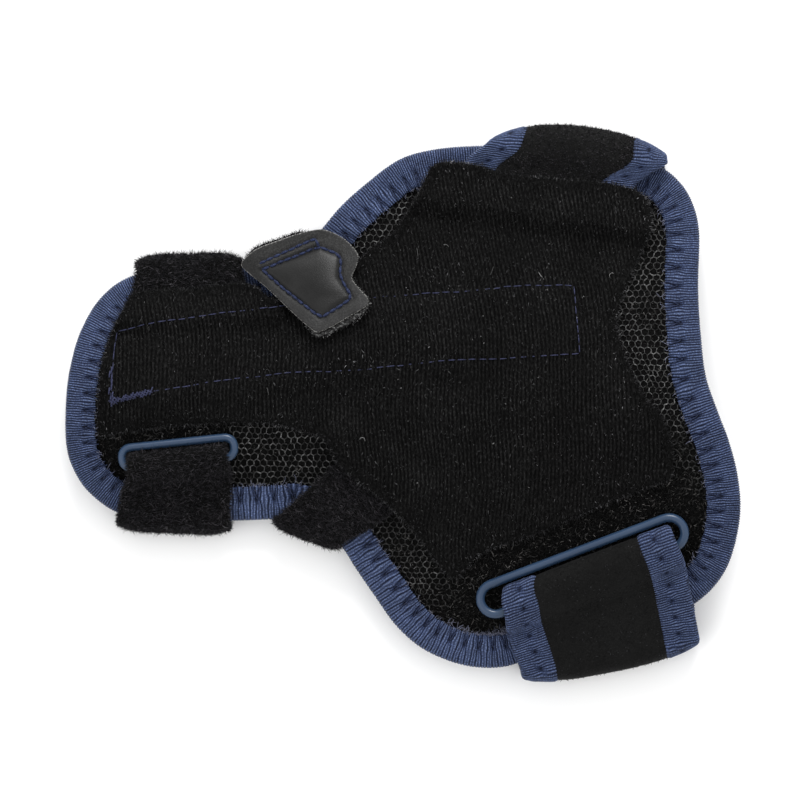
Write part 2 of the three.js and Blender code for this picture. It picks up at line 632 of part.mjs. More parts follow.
function buildBrace() {
  const brace = new THREE.Group();
  const thumbFrame = ringFrame(THUMB_RING, THUMB_RING_PLACE, STRAP_THICKNESS);
  const wristFrame = ringFrame(WRIST_RING, WRIST_RING_PLACE, WRIST_STRAP_THICKNESS);
  const thumbRows = thumbStrapRows(thumbFrame);
  const wristRows = wristStrapRows(wristFrame);
  const wristWidth = 2 * ((WRIST_RING.length - WRIST_RING.bar) / 2 - WRIST_RING.corner - RING_END_PLAY);
  const bindingShare = WRIST_STRAP_BINDING / wristWidth;
  const gapShare = CLEARANCE / wristWidth;
  const wristBand = (from, to) => ribbon(wristRows, WRIST_STRAP_THICKNESS, from, to);
  brace.add(
    named('body_panel', bodyPanel(), 'foam'),
    named('edge_binding', edgeBinding(), 'elastic'),
    named('loop_panel', loopPanel(), 'loop'),
    named('thumb_strap', ribbon(thumbRows, STRAP_THICKNESS, 0, 1), 'fleece'),
    named('thumb_ring', oblongRing(THUMB_RING, thumbFrame), 'plastic'),
    named('cross_strap', ribbon(crossStrapRows(), STRAP_THICKNESS, 0, 1), 'fleece'),
    named('pull_tab', pullTab(), 'leather'),
    named('tab_hook_pad', hookPad(), 'hook'),
    named('wrist_strap', wristBand(bindingShare + gapShare, 1 - bindingShare - gapShare), 'neoprene'),
    named('wrist_strap_binding_left', wristBand(0, bindingShare), 'elastic'),
    named('wrist_strap_binding_right', wristBand(1 - bindingShare, 1), 'elastic'),
    named('wrist_ring', oblongRing(WRIST_RING, wristFrame), 'plastic'),
  );
  const box = new THREE.Box3().setFromObject(brace, true);
  const centre = box.getCenter(new THREE.Vector3());
  brace.position.set(-centre.x, -centre.y, -box.min.z);
  return brace;
}

export default buildBrace();
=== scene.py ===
# Looks of the thumb wrist brace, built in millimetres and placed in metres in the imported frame. Sizes,
# tables and height formulas follow the part's own. The straps' folds and spread, the wide strap's sections,
# the loop panel's thumb end, the thumb ring's corners and the tab's dome are fitted to the photo and differ.
import math

import bpy
import numpy as np
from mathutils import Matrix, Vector
from mathutils.geometry import delaunay_2d_cdt


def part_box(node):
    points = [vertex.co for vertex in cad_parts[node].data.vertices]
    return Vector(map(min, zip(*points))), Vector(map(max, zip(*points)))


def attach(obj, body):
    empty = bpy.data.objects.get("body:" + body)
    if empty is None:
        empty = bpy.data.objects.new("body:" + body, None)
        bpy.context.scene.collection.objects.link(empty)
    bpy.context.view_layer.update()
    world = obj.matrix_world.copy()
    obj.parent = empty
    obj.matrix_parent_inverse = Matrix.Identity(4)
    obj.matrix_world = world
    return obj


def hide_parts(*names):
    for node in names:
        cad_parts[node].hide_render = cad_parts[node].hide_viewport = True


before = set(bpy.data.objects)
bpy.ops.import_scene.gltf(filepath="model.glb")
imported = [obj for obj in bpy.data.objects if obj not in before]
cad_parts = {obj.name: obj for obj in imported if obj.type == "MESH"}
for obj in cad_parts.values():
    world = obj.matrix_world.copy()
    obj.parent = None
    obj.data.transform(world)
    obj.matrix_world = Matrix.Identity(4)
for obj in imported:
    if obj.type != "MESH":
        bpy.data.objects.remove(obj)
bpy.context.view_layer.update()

MM = 0.001
CURVE_SAMPLES = 24

# Body
BODY_LENGTH = 193
BODY_WIDTH = 151
BODY_THICKNESS = 2.4
THUMB_RISE = 9
WRIST_RISE = 15
CLEARANCE = 0.3
FACET_PLAY = 0.2

# Binding, panel and pocket
BINDING_WALL = 1.0
BINDING_SHOW = 9.7
PANEL_THICKNESS = 1.2
POCKET_HEIGHT = 0.8
POCKET_LENGTH = 133
POCKET_WIDTH = 16
SLOPE_WIDTH = 6

# Straps
STRAP_THICKNESS = 2.0
WRIST_STRAP_THICKNESS = 2.4
WRIST_STRAP_BINDING = 10.3
THUMB_STRAP_WIDTH = 30.5
CROSS_STRAP_WIDTH = 20.5
THUMB_FOLD_TOP = 3.3
THUMB_FOLD_BOTTOM = 3.1
CROSS_FOLD_TOP = 2.4
CROSS_FOLD_BOTTOM = 1.7
WRIST_FOLD_TOP = 7.2
WRIST_FOLD_ARCH = 4.0
FOLD_CORNER = 1.9
WRIST_FOLD_BOTTOM = 4.2
WRIST_BOTTOM_ARCH = 1.6
WRIST_FOLD_LIFT = 1.6
WRIST_FOLD_LEAN = 3.0
RETURN_LENGTH = 5
JOIN_START = 2.4
JOIN_HEIGHT = 0.72
FOLD_STEPS = 6
RUN_STEPS = 3

# Rings
THUMB_RING = {"length": 34.7, "spacing": 5.8, "bar": 2.4, "corner": 1.6, "reach": 4.2, "slide": -0.3}
WRIST_RING = {"length": 64.6, "spacing": 8.8, "bar": 2.6, "corner": 4.4, "reach": 7.0, "slide": 1.2}
RING_END_PLAY = 0.5
# How far a strap bulges to its left and right beside its ring
THUMB_SPREAD = {"run": [2.6, 0.4], "join": [0.5, 0.2], "over": [0.2, 0.1], "fold": [0.1, 0.0]}
WRIST_SPREAD = {"run": [2.2, 0.1], "join": [1.5, 0.5], "over": [0.5, 0.5], "fold": [-1.8, 0.2]}
# Corner radius of each bar's centre line as it shows, and how the bars are meshed
RING_END_RADIUS = {"thumb": 2.5, "wrist": 4.4}
RING_SIDES = 16
RING_CORNER_STEPS = 10
RING_SEGMENT = 0.9
RING_PLAY = 0.02

# Tab and hook pad
TAB_THICKNESS = 1.5
TAB_DOME = 1.9
TAB_RIDGE = 0.55
HOOK_THICKNESS = 2.0

# Heights over the body's middle surface
BODY_TOP = BODY_THICKNESS / 2
BINDING_INSIDE = BODY_TOP + CLEARANCE + FACET_PLAY
BINDING_OUTSIDE = BINDING_INSIDE + BINDING_WALL
PANEL_BOTTOM = BODY_TOP + CLEARANCE + FACET_PLAY
PANEL_TOP = PANEL_BOTTOM + PANEL_THICKNESS
ON_BODY = BODY_TOP + CLEARANCE + FACET_PLAY + STRAP_THICKNESS / 2
ON_BINDING = BINDING_OUTSIDE + CLEARANCE + FACET_PLAY + STRAP_THICKNESS / 2
ON_PANEL = PANEL_TOP + CLEARANCE + STRAP_THICKNESS / 2
WIDE_ON_BINDING = BINDING_OUTSIDE + CLEARANCE + FACET_PLAY + WRIST_STRAP_THICKNESS / 2
EDGE_HEIGHT = WRIST_STRAP_THICKNESS + CLEARANCE + BINDING_OUTSIDE

# Fine structure: knit ribs, elastic ribs, needle pitch, net cells
PANEL_RIB_PITCH = 1.15
PANEL_RIB_HEIGHT = 0.3
PANEL_HEM = 2.4
ELASTIC_PITCH = 0.72
ROWS_PER_RIB = 4
ELASTIC_HEIGHT = 0.27
RIB_LEVEL = 0.62
NEEDLE_REACH = 5.9
NEEDLE_WIDTH = 0.55
NEEDLE_DEPTH = 0.8
PINCH_PULL = 0.55
PINCH_WIDTH = 1.5
ZIGZAG_PITCH = 5.1
NET_CELL_WIDTH = 1.8
NET_CELL_HEIGHT = 2.15
NET_STRAND = 0.17

# Draws of loose fibres and specks, and the seed of each piece's draws
COUNTS = {"net_fuzz": 180000, "panel_pile": 56000, "panel_edge": 9000, "frays": 620, "lint": 420}
SEEDS = {"net": 21, "fuzz": 25, "zigzag": 31, "frays": 33, "pile": 51, "pocket": 61, "lint": 71, "tab": 95,
         "hooks": 97}
FIBRE_WIDTHS = {"net": 0.17, "panel": 0.19, "strap": 0.18}
STRAP_FIBRES = [
    # piece, strap, draws, material, slot, seed, length, lowest height, stand, share of the run from its root
    ["thumb_strap_pile", "thumb", 37000, "fleece_pile", "fleece_strap", 111, 1.9, 1.2, (0.15, 0.6), 1.0],
    ["cross_strap_pile", "cross", 33000, "fleece_pile", "fleece_strap", 113, 1.8, 1.2, (0.15, 0.6), 1.0],
    ["thumb_strap_hair", "thumb", 5200, "fleece_hair", "fleece_strap", 117, 2.1, 1.2, (0.1, 0.4), 1.0],
    ["cross_strap_hair", "cross", 4200, "fleece_hair", "fleece_strap", 119, 2.1, 1.2, (0.1, 0.4), 1.0],
    ["wrist_strap_pile", "wrist", 22000, "core_pile", "smooth_strap", 115, 0.8, 3.0, (0.15, 0.6), 1.0],
    ["wrist_strap_hair", "wrist", 9500, "fleece_pile", "smooth_strap", 127, 1.0, 3.0, (0.4, 1.2), 0.17],
]

# Tones in linear light: a place from 0 to 1 and its colour for fibres, dark and light for threads
FIBRE_SHEEN = 0.02
FIBRE_TONES = {
    "fleece_pile": [(0.0, (0.0038, 0.0038, 0.0046)), (0.4, (0.013, 0.0125, 0.0144)),
                    (0.75, (0.040, 0.037, 0.042)), (1.0, (0.105, 0.100, 0.108))],
    "fleece_hair": [(0.0, (0.006, 0.006, 0.007)), (0.5, (0.026, 0.025, 0.028)), (1.0, (0.11, 0.105, 0.115))],
    "loop_pile": [(0.0, (0.002, 0.002, 0.0022)), (0.4, (0.011, 0.011, 0.0116)),
                  (0.75, (0.048, 0.048, 0.050)), (1.0, (0.17, 0.17, 0.175))],
    "net_fuzz": [(0.0, (0.0015, 0.0015, 0.0015)), (0.5, (0.006, 0.006, 0.006)),
                 (0.8, (0.028, 0.027, 0.026)), (1.0, (0.13, 0.125, 0.12))],
    "core_pile": [(0.0, (0.002, 0.002, 0.0025)), (0.5, (0.007, 0.007, 0.0078)), (1.0, (0.065, 0.065, 0.070))],
    "lint_fibre": [(0.0, (0.03, 0.03, 0.03)), (0.5, (0.12, 0.12, 0.12)), (1.0, (0.42, 0.42, 0.42))],
}
THREAD_TONES = {
    "navy_thread": [(0.006, 0.010, 0.030), (0.030, 0.042, 0.095)],
    "seam_thread": [(0.010, 0.012, 0.032), (0.044, 0.049, 0.105)],
    "tab_thread": [(0.002, 0.004, 0.016), (0.026, 0.036, 0.088)],
    "pale_thread": [(0.050, 0.055, 0.095), (0.20, 0.21, 0.28)],
}

BODY_OUTLINE = [
    # along, across
    [0.000, 0.497], [0.006, 0.573], [0.022, 0.649], [0.051, 0.712], [0.092, 0.750], [0.177, 0.768],
    [0.259, 0.767], [0.311, 0.778], [0.352, 0.803], [0.380, 0.843], [0.407, 0.884], [0.447, 0.930],
    [0.496, 0.975], [0.541, 0.992], [0.608, 1.000], [0.720, 0.997], [0.823, 0.983], [0.888, 0.958],
    [0.921, 0.918], [0.936, 0.875], [0.941, 0.835], [0.938, 0.725], [0.941, 0.634], [0.948, 0.558],
    [0.964, 0.497], [0.981, 0.440], [0.994, 0.380], [1.000, 0.317], [0.996, 0.260], [0.981, 0.195],
    [0.956, 0.150], [0.923, 0.118], [0.860, 0.084], [0.780, 0.049], [0.700, 0.025], [0.650, 0.006],
    [0.606, 0.006], [0.566, 0.019], [0.526, 0.044], [0.490, 0.085], [0.459, 0.140], [0.431, 0.192],
    [0.407, 0.239], [0.380, 0.273], [0.347, 0.290], [0.308, 0.288], [0.244, 0.285], [0.177, 0.286],
    [0.110, 0.289], [0.068, 0.304], [0.028, 0.345], [0.010, 0.383], [0.001, 0.421],
]
PANEL_OUTLINE = [
    # along, across
    [0.100, 0.717], [0.184, 0.727], [0.272, 0.736], [0.298, 0.713], [0.322, 0.704], [0.370, 0.740],
    [0.432, 0.778], [0.455, 0.805], [0.486, 0.833], [0.502, 0.863], [0.523, 0.903], [0.535, 0.939],
    [0.550, 0.964], [0.606, 0.962], [0.646, 0.947], [0.725, 0.935], [0.805, 0.926], [0.857, 0.903],
    [0.869, 0.848], [0.857, 0.806], [0.841, 0.761], [0.825, 0.710], [0.816, 0.664], [0.822, 0.619],
    [0.834, 0.579], [0.853, 0.528], [0.881, 0.482], [0.896, 0.431], [0.899, 0.391], [0.893, 0.364],
    [0.872, 0.355], [0.805, 0.321], [0.746, 0.288], [0.685, 0.256], [0.614, 0.222], [0.578, 0.176],
    [0.550, 0.207], [0.526, 0.252], [0.487, 0.306], [0.404, 0.398], [0.388, 0.438], [0.351, 0.457],
    [0.297, 0.471], [0.171, 0.467], [0.077, 0.452], [0.049, 0.448], [0.048, 0.509], [0.054, 0.580],
    [0.069, 0.645], [0.086, 0.688],
]
TAB_OUTLINE = [
    # along, across
    [0.260, 0.772], [0.279, 0.799], [0.315, 0.818], [0.351, 0.833], [0.380, 0.839], [0.406, 0.827],
    [0.423, 0.810], [0.434, 0.789], [0.431, 0.767], [0.425, 0.746], [0.434, 0.729], [0.449, 0.706],
    [0.449, 0.696], [0.423, 0.674], [0.388, 0.649], [0.373, 0.643], [0.363, 0.651], [0.333, 0.685],
    [0.297, 0.729], [0.272, 0.755],
]
HOOK_OUTLINE = [
    # along, across
    [0.340, 0.696], [0.422, 0.751], [0.434, 0.727], [0.450, 0.702], [0.447, 0.685], [0.388, 0.639],
    [0.373, 0.636], [0.361, 0.651],
]
# Stitched edge of the tab's padded middle
TAB_SEAM = [
    # along, across
    [0.291, 0.763], [0.376, 0.806], [0.406, 0.791], [0.409, 0.778], [0.407, 0.748], [0.426, 0.708],
    [0.380, 0.670], [0.330, 0.719],
]
TAB_TOP_SEAM = [[0.287, 0.774], [0.370, 0.822], [0.376, 0.806]]
# Stitched outline of the stay's pocket, from the panel's thumb end round the wrist end and back
POCKET_SIDES = [[0, 2], [2, 10], [10, 11], [11, 18]]
POCKET_SEAM = [
    # along, across
    [0.068, 0.512], [0.071, 0.583], [0.076, 0.645], [0.128, 0.662], [0.189, 0.674], [0.262, 0.683],
    [0.312, 0.693], [0.452, 0.708], [0.585, 0.721], [0.685, 0.732], [0.753, 0.731], [0.761, 0.603],
    [0.685, 0.596], [0.547, 0.588], [0.459, 0.575], [0.407, 0.571], [0.333, 0.567], [0.224, 0.552],
    [0.128, 0.531],
]
POCKET_TACK = [[0.068, 0.512], [0.128, 0.531]]
THUMB_EDGES = {"upper": 0.768, "lower": 0.286}
WIDENING = {"upper_start": 0.27, "upper_end": 0.56, "lower_start": 0.30, "lower_end": 0.58}
RISING = {"start": 0.25, "end": 0.70}
THUMB_SECTIONS = {
    # left along, left across, right along, right across
    "root": [0.095, 0.700, 0.273, 0.717],
    "top_edge": [0.104, 0.763, 0.258, 0.768],
    "bottom_edge": [0.076, 0.293, 0.242, 0.284],
}
CROSS_SECTIONS = {
    "root": [0.4205, 0.4231, 0.5037, 0.3302],
    "leaving": [0.3967, 0.3890, 0.4829, 0.3017],
    "on_binding": [0.3655, 0.3529, 0.4532, 0.2751],
    "bottom_edge": [0.3105, 0.2900, 0.4101, 0.2420],
    "top_edge": [0.2719, 0.7780, 0.3655, 0.8200],
    "under_tab": [0.2912, 0.7495, 0.3878, 0.8008],
    "end": [0.3135, 0.7192, 0.4071, 0.7780],
}
WRIST_SECTIONS = {
    "root": [0.580, 0.915, 0.838, 0.880],
    "leaving": [0.592, 0.966, 0.845, 0.922],
    "top_edge": [0.622, 1.000, 0.892, 0.964],
    "bottom_edge": [0.677, -0.003, 0.940, 0.066],
}
THUMB_RING_PLACE = {"along": 0.167, "across": 0.4156, "degrees": 6}
WRIST_RING_PLACE = {"along": 0.7656, "across": 0.2011, "degrees": 21}
STRAP_END_RISES = [
    # along, across, degrees, half length, half depth, height
    [0.190, 0.722, 3, 23, 7, ON_BINDING + STRAP_THICKNESS / 2 + CLEARANCE - PANEL_BOTTOM],
    [0.712, 0.935, -8, 39, 10, WIDE_ON_BINDING + WRIST_STRAP_THICKNESS / 2 + CLEARANCE - PANEL_BOTTOM],
    [0.452, 0.368, -41, 14.5, 6.5, STRAP_THICKNESS + CLEARANCE],
]
POCKET_PLACE = {"along": 0.4146, "across": 0.6243, "degrees": 5.7}
# Places where loose fibres hide the net
NET_FUZZ_PLACES = [
    # along, across, spread in mm, share
    [0.80, 0.30, 18, 1.0], [0.72, 0.26, 18, 1.0], [0.65, 0.20, 17, 1.0], [0.88, 0.33, 16, 1.0],
    [0.93, 0.27, 16, 1.0], [0.60, 0.12, 15, 0.9], [0.92, 0.42, 10, 0.6], [0.50, 0.25, 12, 0.45],
    [0.06, 0.40, 12, 1.0], [0.10, 0.445, 8, 1.0], [0.17, 0.46, 6, 1.0], [0.22, 0.47, 6, 0.9],
    [0.10, 0.35, 10, 1.0], [0.86, 0.68, 9, 0.4], [0.44, 0.27, 10, 0.4], [0.51, 0.80, 9, 0.35],
]

# The wide strap's width between its ring's ends, the share that one binding covers, and the core's edge
WRIST_HELD_WIDTH = WRIST_RING["length"] - WRIST_RING["bar"] - 2 * (WRIST_RING["corner"] + RING_END_PLAY)
BOUND_SHARE = WRIST_STRAP_BINDING / WRIST_HELD_WIDTH
CORE_EDGE = BOUND_SHARE * 0.93

# Camera: the photo looks straight down from far away
FRAME_WIDTH = 229.4
CAMERA_HEIGHT = 1.3
CAMERA_MIDDLE = [-0.7, 1.1]
SENSOR_WIDTH = 36
FRAME_LEVEL = 0.012

# Light and floor, in metres
LIGHTS = {
    # name: place, size, power in watts
    "key": [(0.1, 1.15, 0.65), 0.6, 15],
    "fill": [(-0.8, -0.3, 1.0), 0.9, 2],
}
WORLD_STRENGTH = 1.12
FLOOR_HALF = 3.0
FLOOR_DROP = 0.0002


def ease(share):
    held = np.clip(share, 0, 1)
    return held * held * (3 - 2 * held)


def mix(first, last, share):
    return first + (last - first) * share


def place(along, across):
    return np.array([along * BODY_LENGTH, across * BODY_WIDTH])


def placed(table):
    return np.array([place(along, across) for along, across in table])


def unit(vectors):
    """Rows of vectors at length 1."""
    return vectors / np.maximum(np.linalg.norm(vectors, axis=-1, keepdims=True), 1e-9)


def surface_height(x, y):
    """Height of the body's middle surface: flat at the long edges, raised between them."""
    along = x / BODY_LENGTH
    upper_share = ease((along - WIDENING["upper_start"]) / (WIDENING["upper_end"] - WIDENING["upper_start"]))
    lower_share = ease((along - WIDENING["lower_start"]) / (WIDENING["lower_end"] - WIDENING["lower_start"]))
    upper = mix(THUMB_EDGES["upper"], 1, upper_share) * BODY_WIDTH
    lower = mix(THUMB_EDGES["lower"], 0, lower_share) * BODY_WIDTH
    from_middle = (y - (upper + lower) / 2) / ((upper - lower) / 2)
    arch = np.maximum(0, 1 - from_middle**2) ** 2
    rise = mix(THUMB_RISE, WRIST_RISE, ease((along - RISING["start"]) / (RISING["end"] - RISING["start"])))
    return EDGE_HEIGHT + rise * arch


def raised_place(x, y, middle, degrees, half_length, half_depth, height):
    """A raised place with straight sides that slopes off over SLOPE_WIDTH."""
    turn = math.radians(degrees)
    dx = x - middle[0]
    dy = y - middle[1]
    long = dx * math.cos(turn) + dy * math.sin(turn)
    deep = dy * math.cos(turn) - dx * math.sin(turn)
    beyond_length = np.maximum(0, np.abs(long) - half_length)
    beyond_depth = np.maximum(0, np.abs(deep) - half_depth)
    return height * ease(1 - np.hypot(beyond_length, beyond_depth) / SLOPE_WIDTH)


def pocket_rise(x, y):
    middle = place(POCKET_PLACE["along"], POCKET_PLACE["across"])
    half_length = POCKET_LENGTH / 2
    half_depth = POCKET_WIDTH / 2
    return raised_place(x, y, middle, POCKET_PLACE["degrees"], half_length, half_depth, POCKET_HEIGHT)


def panel_rise(x, y):
    rise = pocket_rise(x, y)
    for along, across, degrees, half_length, half_depth, height in STRAP_END_RISES:
        middle = place(along, across)
        rise = np.maximum(rise, raised_place(x, y, middle, degrees, half_length, half_depth, height))
    return rise


def soft_noise(x, y, scale, seed):
    """Smooth seeded unevenness from -1 to 1 with features of about scale."""
    draw = np.random.default_rng(seed)
    total = np.zeros(np.broadcast(x, y).shape)
    waves = 7
    for _ in range(waves):
        turn = draw.uniform(0, math.tau)
        pace = math.tau / (scale * draw.uniform(0.7, 1.6))
        total += np.sin((x * math.cos(turn) + y * math.sin(turn)) * pace + draw.uniform(0, math.tau))
    return total / waves * 1.6


# Curves and outlines

def spline(points, closed, samples):
    """Centripetal curve through points or rows of points, as the part's outlines are drawn."""
    points = np.asarray(points, float)
    if closed:
        padded = np.concatenate([points[-1:], points, points[:2]])
        spans = len(points)
    else:
        padded = np.concatenate([[2 * points[0] - points[1]], points, [2 * points[-1] - points[-2]]])
        spans = len(points) - 1
    guide = padded if padded.ndim == 2 else padded[:, padded.shape[1] // 2]
    knots = np.sqrt(np.maximum(np.linalg.norm(np.diff(guide, axis=0), axis=1), 1e-6))
    result = []
    for i in range(spans):
        a, b, c, d = padded[i : i + 4]
        before, here, after = knots[i : i + 3]
        leave = ((b - a) / before - (c - a) / (before + here) + (c - b) / here) * here
        arrive = ((c - b) / here - (d - b) / (here + after) + (d - c) / after) * here
        for step in range(samples):
            t = step / samples
            result.append(
                (2 * t**3 - 3 * t**2 + 1) * b + (t**3 - 2 * t**2 + t) * leave
                + (3 * t**2 - 2 * t**3) * c + (t**3 - t**2) * arrive
            )
    if not closed:
        result.append(points[-1])
    return np.array(result)


def even(points, spacing, closed):
    """The same run with its points or rows at an even spacing, and the arc length at each."""
    if closed:
        points = np.concatenate([points, points[:1]])
    guide = points if points.ndim == 2 else points[:, points.shape[1] // 2]
    run = np.concatenate([[0], np.cumsum(np.linalg.norm(np.diff(guide, axis=0), axis=1))])
    count = max(2, round(run[-1] / spacing))
    at = np.linspace(0, run[-1], count + 1)
    if closed:
        at = at[:-1]
    flat = points.reshape(len(points), -1)
    columns = [np.interp(at, run, flat[:, i]) for i in range(flat.shape[1])]
    return np.stack(columns, axis=1).reshape(len(at), *points.shape[1:]), at


def smooth_outline(table, spacing):
    return even(spline(placed(table), True, CURVE_SAMPLES), spacing, True)[0]


def inward_directions(outline):
    ahead = np.roll(outline, -1, axis=0) - np.roll(outline, 1, axis=0)
    ahead = unit(ahead)
    return np.stack([ahead[:, 1], -ahead[:, 0]], axis=1)


def inset(outline, distance):
    return outline + inward_directions(outline) * distance


def is_inside(x, y, outline):
    """Even-odd test of points against an outline."""
    inside = np.zeros(x.shape, bool)
    for (ax, ay), (bx, by) in zip(outline, np.roll(outline, -1, axis=0)):
        if ay == by:
            continue
        crosses = ((ay > y) != (by > y)) & (x < (bx - ax) * (y - ay) / (by - ay) + ax)
        inside ^= crosses
    return inside


def outline_distance(x, y, outline):
    """Distance from each point to the nearest place on an outline."""
    nearest = np.full(x.shape, 1e9)
    for (ax, ay), (bx, by) in zip(outline, np.roll(outline, -1, axis=0)):
        length = (bx - ax) ** 2 + (by - ay) ** 2
        share = np.clip(((x - ax) * (bx - ax) + (y - ay) * (by - ay)) / length, 0, 1)
        nearest = np.minimum(nearest, np.hypot(x - ax - share * (bx - ax), y - ay - share * (by - ay)))
    return nearest


def find_shift():
    """The part's origin is the middle of its box: the binding's low corner tells how far that is."""
    outline = smooth_outline(BODY_OUTLINE, 0.25)
    low = np.array(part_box("edge_binding")[0])[:2] / MM
    return np.array([*(low - outline.min(axis=0)), 0])


SHIFT = find_shift()
TAB_SEAM_LINE = even(placed(TAB_SEAM), 0.3, True)[0]


# Meshes

def make_piece(name, points, faces, material, body="brace", attributes=None):
    mesh = bpy.data.meshes.new(name)
    mesh.from_pydata(((np.asarray(points) + SHIFT) * MM).tolist(), [], faces)
    mesh.validate()
    mesh.polygons.foreach_set("use_smooth", [True] * len(mesh.polygons))
    for key, values in (attributes or {}).items():
        layer = mesh.attributes.new(key, "FLOAT", "POINT")
        layer.data.foreach_set("value", np.asarray(values, np.float32))
    mesh.materials.append(material)
    piece = bpy.data.objects.new(name, mesh)
    bpy.context.scene.collection.objects.link(piece)
    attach(piece, body)
    return piece


def loft_faces(count, around, closed):
    """Faces of a skin through count sections of around points, with its ends capped if it is open."""
    spans = count if closed else count - 1
    i = np.arange(spans)[:, None] * around
    j = np.arange(around)[None, :]
    step = (np.arange(spans)[:, None] + 1) % count * around
    ahead = (j + 1) % around
    faces = np.stack([i + j, i + ahead, step + ahead, step + j], axis=-1).reshape(-1, 4).tolist()
    if not closed:
        last = (count - 1) * around
        faces.append(list(range(around))[::-1])
        faces.append(list(range(last, last + around)))
    return faces


def sheet_points(outline, rings, across_step, along_step, grid_start):
    """Triangulated plan of a sheet: its outline, inset rings near the edge and a grid inside."""
    loops = [outline] + [inset(outline, distance) for distance in rings]
    low = outline.min(axis=0)
    high = outline.max(axis=0)
    x, y = np.meshgrid(np.arange(low[0], high[0], across_step), np.arange(low[1], high[1], along_step))
    x = x.ravel()
    y = y.ravel()
    inside = is_inside(x, y, outline)
    x = x[inside]
    y = y[inside]
    clear = outline_distance(x, y, outline) > grid_start
    points = np.concatenate([*loops, np.stack([x[clear], y[clear]], axis=1)])
    boundary = [list(range(len(outline)))]
    result = delaunay_2d_cdt(points.tolist(), [], boundary, 1, 1e-5)
    return np.array([tuple(p) for p in result[0]]), [list(face) for face in result[2]]


def closed_sheet(plan, faces, low, high):
    """Closed skin over and under a plan, with walls at its edge."""
    count = len(plan)
    points = np.concatenate([np.column_stack([plan, high]), np.column_stack([plan, low])])
    edges = {}
    for face in faces:
        for a, b in zip(face, face[1:] + face[:1]):
            edges[(a, b)] = True
    rim = [(a, b) for a, b in edges if (b, a) not in edges]
    under = [[i + count for i in face[::-1]] for face in faces]
    walls = [[b, a, a + count, b + count] for a, b in rim]
    return points, faces + under + walls


def edge_rounding(distance, radius):
    """How far a rounded edge falls below its flat, at a distance in from the edge."""
    left = np.clip(radius - distance, 0, radius)
    return radius - np.sqrt(radius**2 - left**2)


def tube_field(paths, radii, sides, flatten=1.0):
    """Many short closed tubes: paths is tubes by points by 3, and radii is tubes by points."""
    ahead = np.gradient(paths, axis=1)
    ahead = unit(ahead)
    up = np.broadcast_to(np.array([0.05, 0.02, 1.0]), ahead.shape)
    side = np.cross(ahead, up)
    side = unit(side)
    up = np.cross(side, ahead)
    turn = np.arange(sides) * math.tau / sides
    ring = (
        side[:, :, None, :] * np.cos(turn)[None, None, :, None]
        + up[:, :, None, :] * (np.sin(turn) * flatten)[None, None, :, None]
    )
    points = paths[:, :, None, :] + ring * radii[:, :, None, None]
    tubes, length = paths.shape[:2]
    one = loft_faces(length, sides, False)
    faces = []
    for tube in range(tubes):
        start = tube * length * sides
        faces.extend([[i + start for i in face] for face in one])
    return points.reshape(-1, 3), faces


def fibre_field(roots, leans, lengths, width, draw, curl):
    """Thin bent fibres, each a narrow blade of two faces."""
    count = len(roots)
    bend = draw.normal(0, 1, (count, 3)) * curl
    middle = roots + leans * (lengths * 0.55)[:, None] + bend * (lengths * 0.25)[:, None]
    tip = roots + leans * lengths[:, None] + bend * (lengths * 0.9)[:, None]
    side = np.cross(leans, draw.normal(0, 1, (count, 3)))
    side *= (width / 2) / np.maximum(np.linalg.norm(side, axis=1, keepdims=True), 1e-9)
    points = np.stack([roots - side, roots + side, middle + side * 0.8, middle - side * 0.8, tip], axis=1)
    start = np.arange(count)[:, None] * 5
    quads = (start + np.array([[0, 1, 2, 3]])).tolist()
    tips = (start + np.array([[3, 2, 4]])).tolist()
    return points.reshape(-1, 3), quads + tips


# Materials

def new_material(name):
    material = bpy.data.materials.new(name)
    material.use_nodes = True
    tree = material.node_tree
    return material, tree, tree.nodes["Principled BSDF"]


def add_node(tree, kind, inputs=None, **settings):
    node = tree.nodes.new(kind)
    for key, value in settings.items():
        setattr(node, key, value)
    for key, value in (inputs or {}).items():
        if isinstance(value, bpy.types.NodeSocket):
            tree.links.new(value, node.inputs[key])
        else:
            node.inputs[key].default_value = value
    return node


def ramp(tree, factor, stops):
    """Colour ramp; stops are place and grey or colour in linear light."""
    node = add_node(tree, "ShaderNodeValToRGB", {"Fac": factor})
    elements = node.color_ramp.elements
    while len(elements) < len(stops):
        elements.new(0.5)
    for element, (position, colour) in zip(elements, stops):
        element.position = position
        grey = colour if hasattr(colour, "__len__") else (colour, colour, colour)
        element.color = (*grey, 1)
    return node.outputs["Color"]


def object_space(tree, scale=(1, 1, 1)):
    coordinates = add_node(tree, "ShaderNodeTexCoord")
    mapped = add_node(tree, "ShaderNodeMapping", {"Vector": coordinates.outputs["Object"]})
    mapped.inputs["Scale"].default_value = scale
    return mapped.outputs["Vector"]


def noise(tree, vector, scale, detail=3.0, roughness=0.6):
    inputs = {"Vector": vector, "Scale": scale, "Detail": detail, "Roughness": roughness}
    return add_node(tree, "ShaderNodeTexNoise", inputs).outputs["Fac"]


def math_node(tree, operation, first, second):
    return add_node(tree, "ShaderNodeMath", {0: first, 1: second}, operation=operation).outputs[0]


def mix_colour(tree, factor, first, second, blend="MIX"):
    node = add_node(tree, "ShaderNodeMix", data_type="RGBA", blend_type=blend)
    for key, value in ((0, factor), (6, first), (7, second)):
        if isinstance(value, bpy.types.NodeSocket):
            tree.links.new(value, node.inputs[key])
        else:
            node.inputs[key].default_value = value if key == 0 else (*value, 1)
    return node.outputs[2]


def surface(shader, roughness, specular, sheen=0.0):
    shader.inputs["Roughness"].default_value = roughness
    shader.inputs["Specular IOR Level"].default_value = specular
    shader.inputs["Sheen Weight"].default_value = sheen


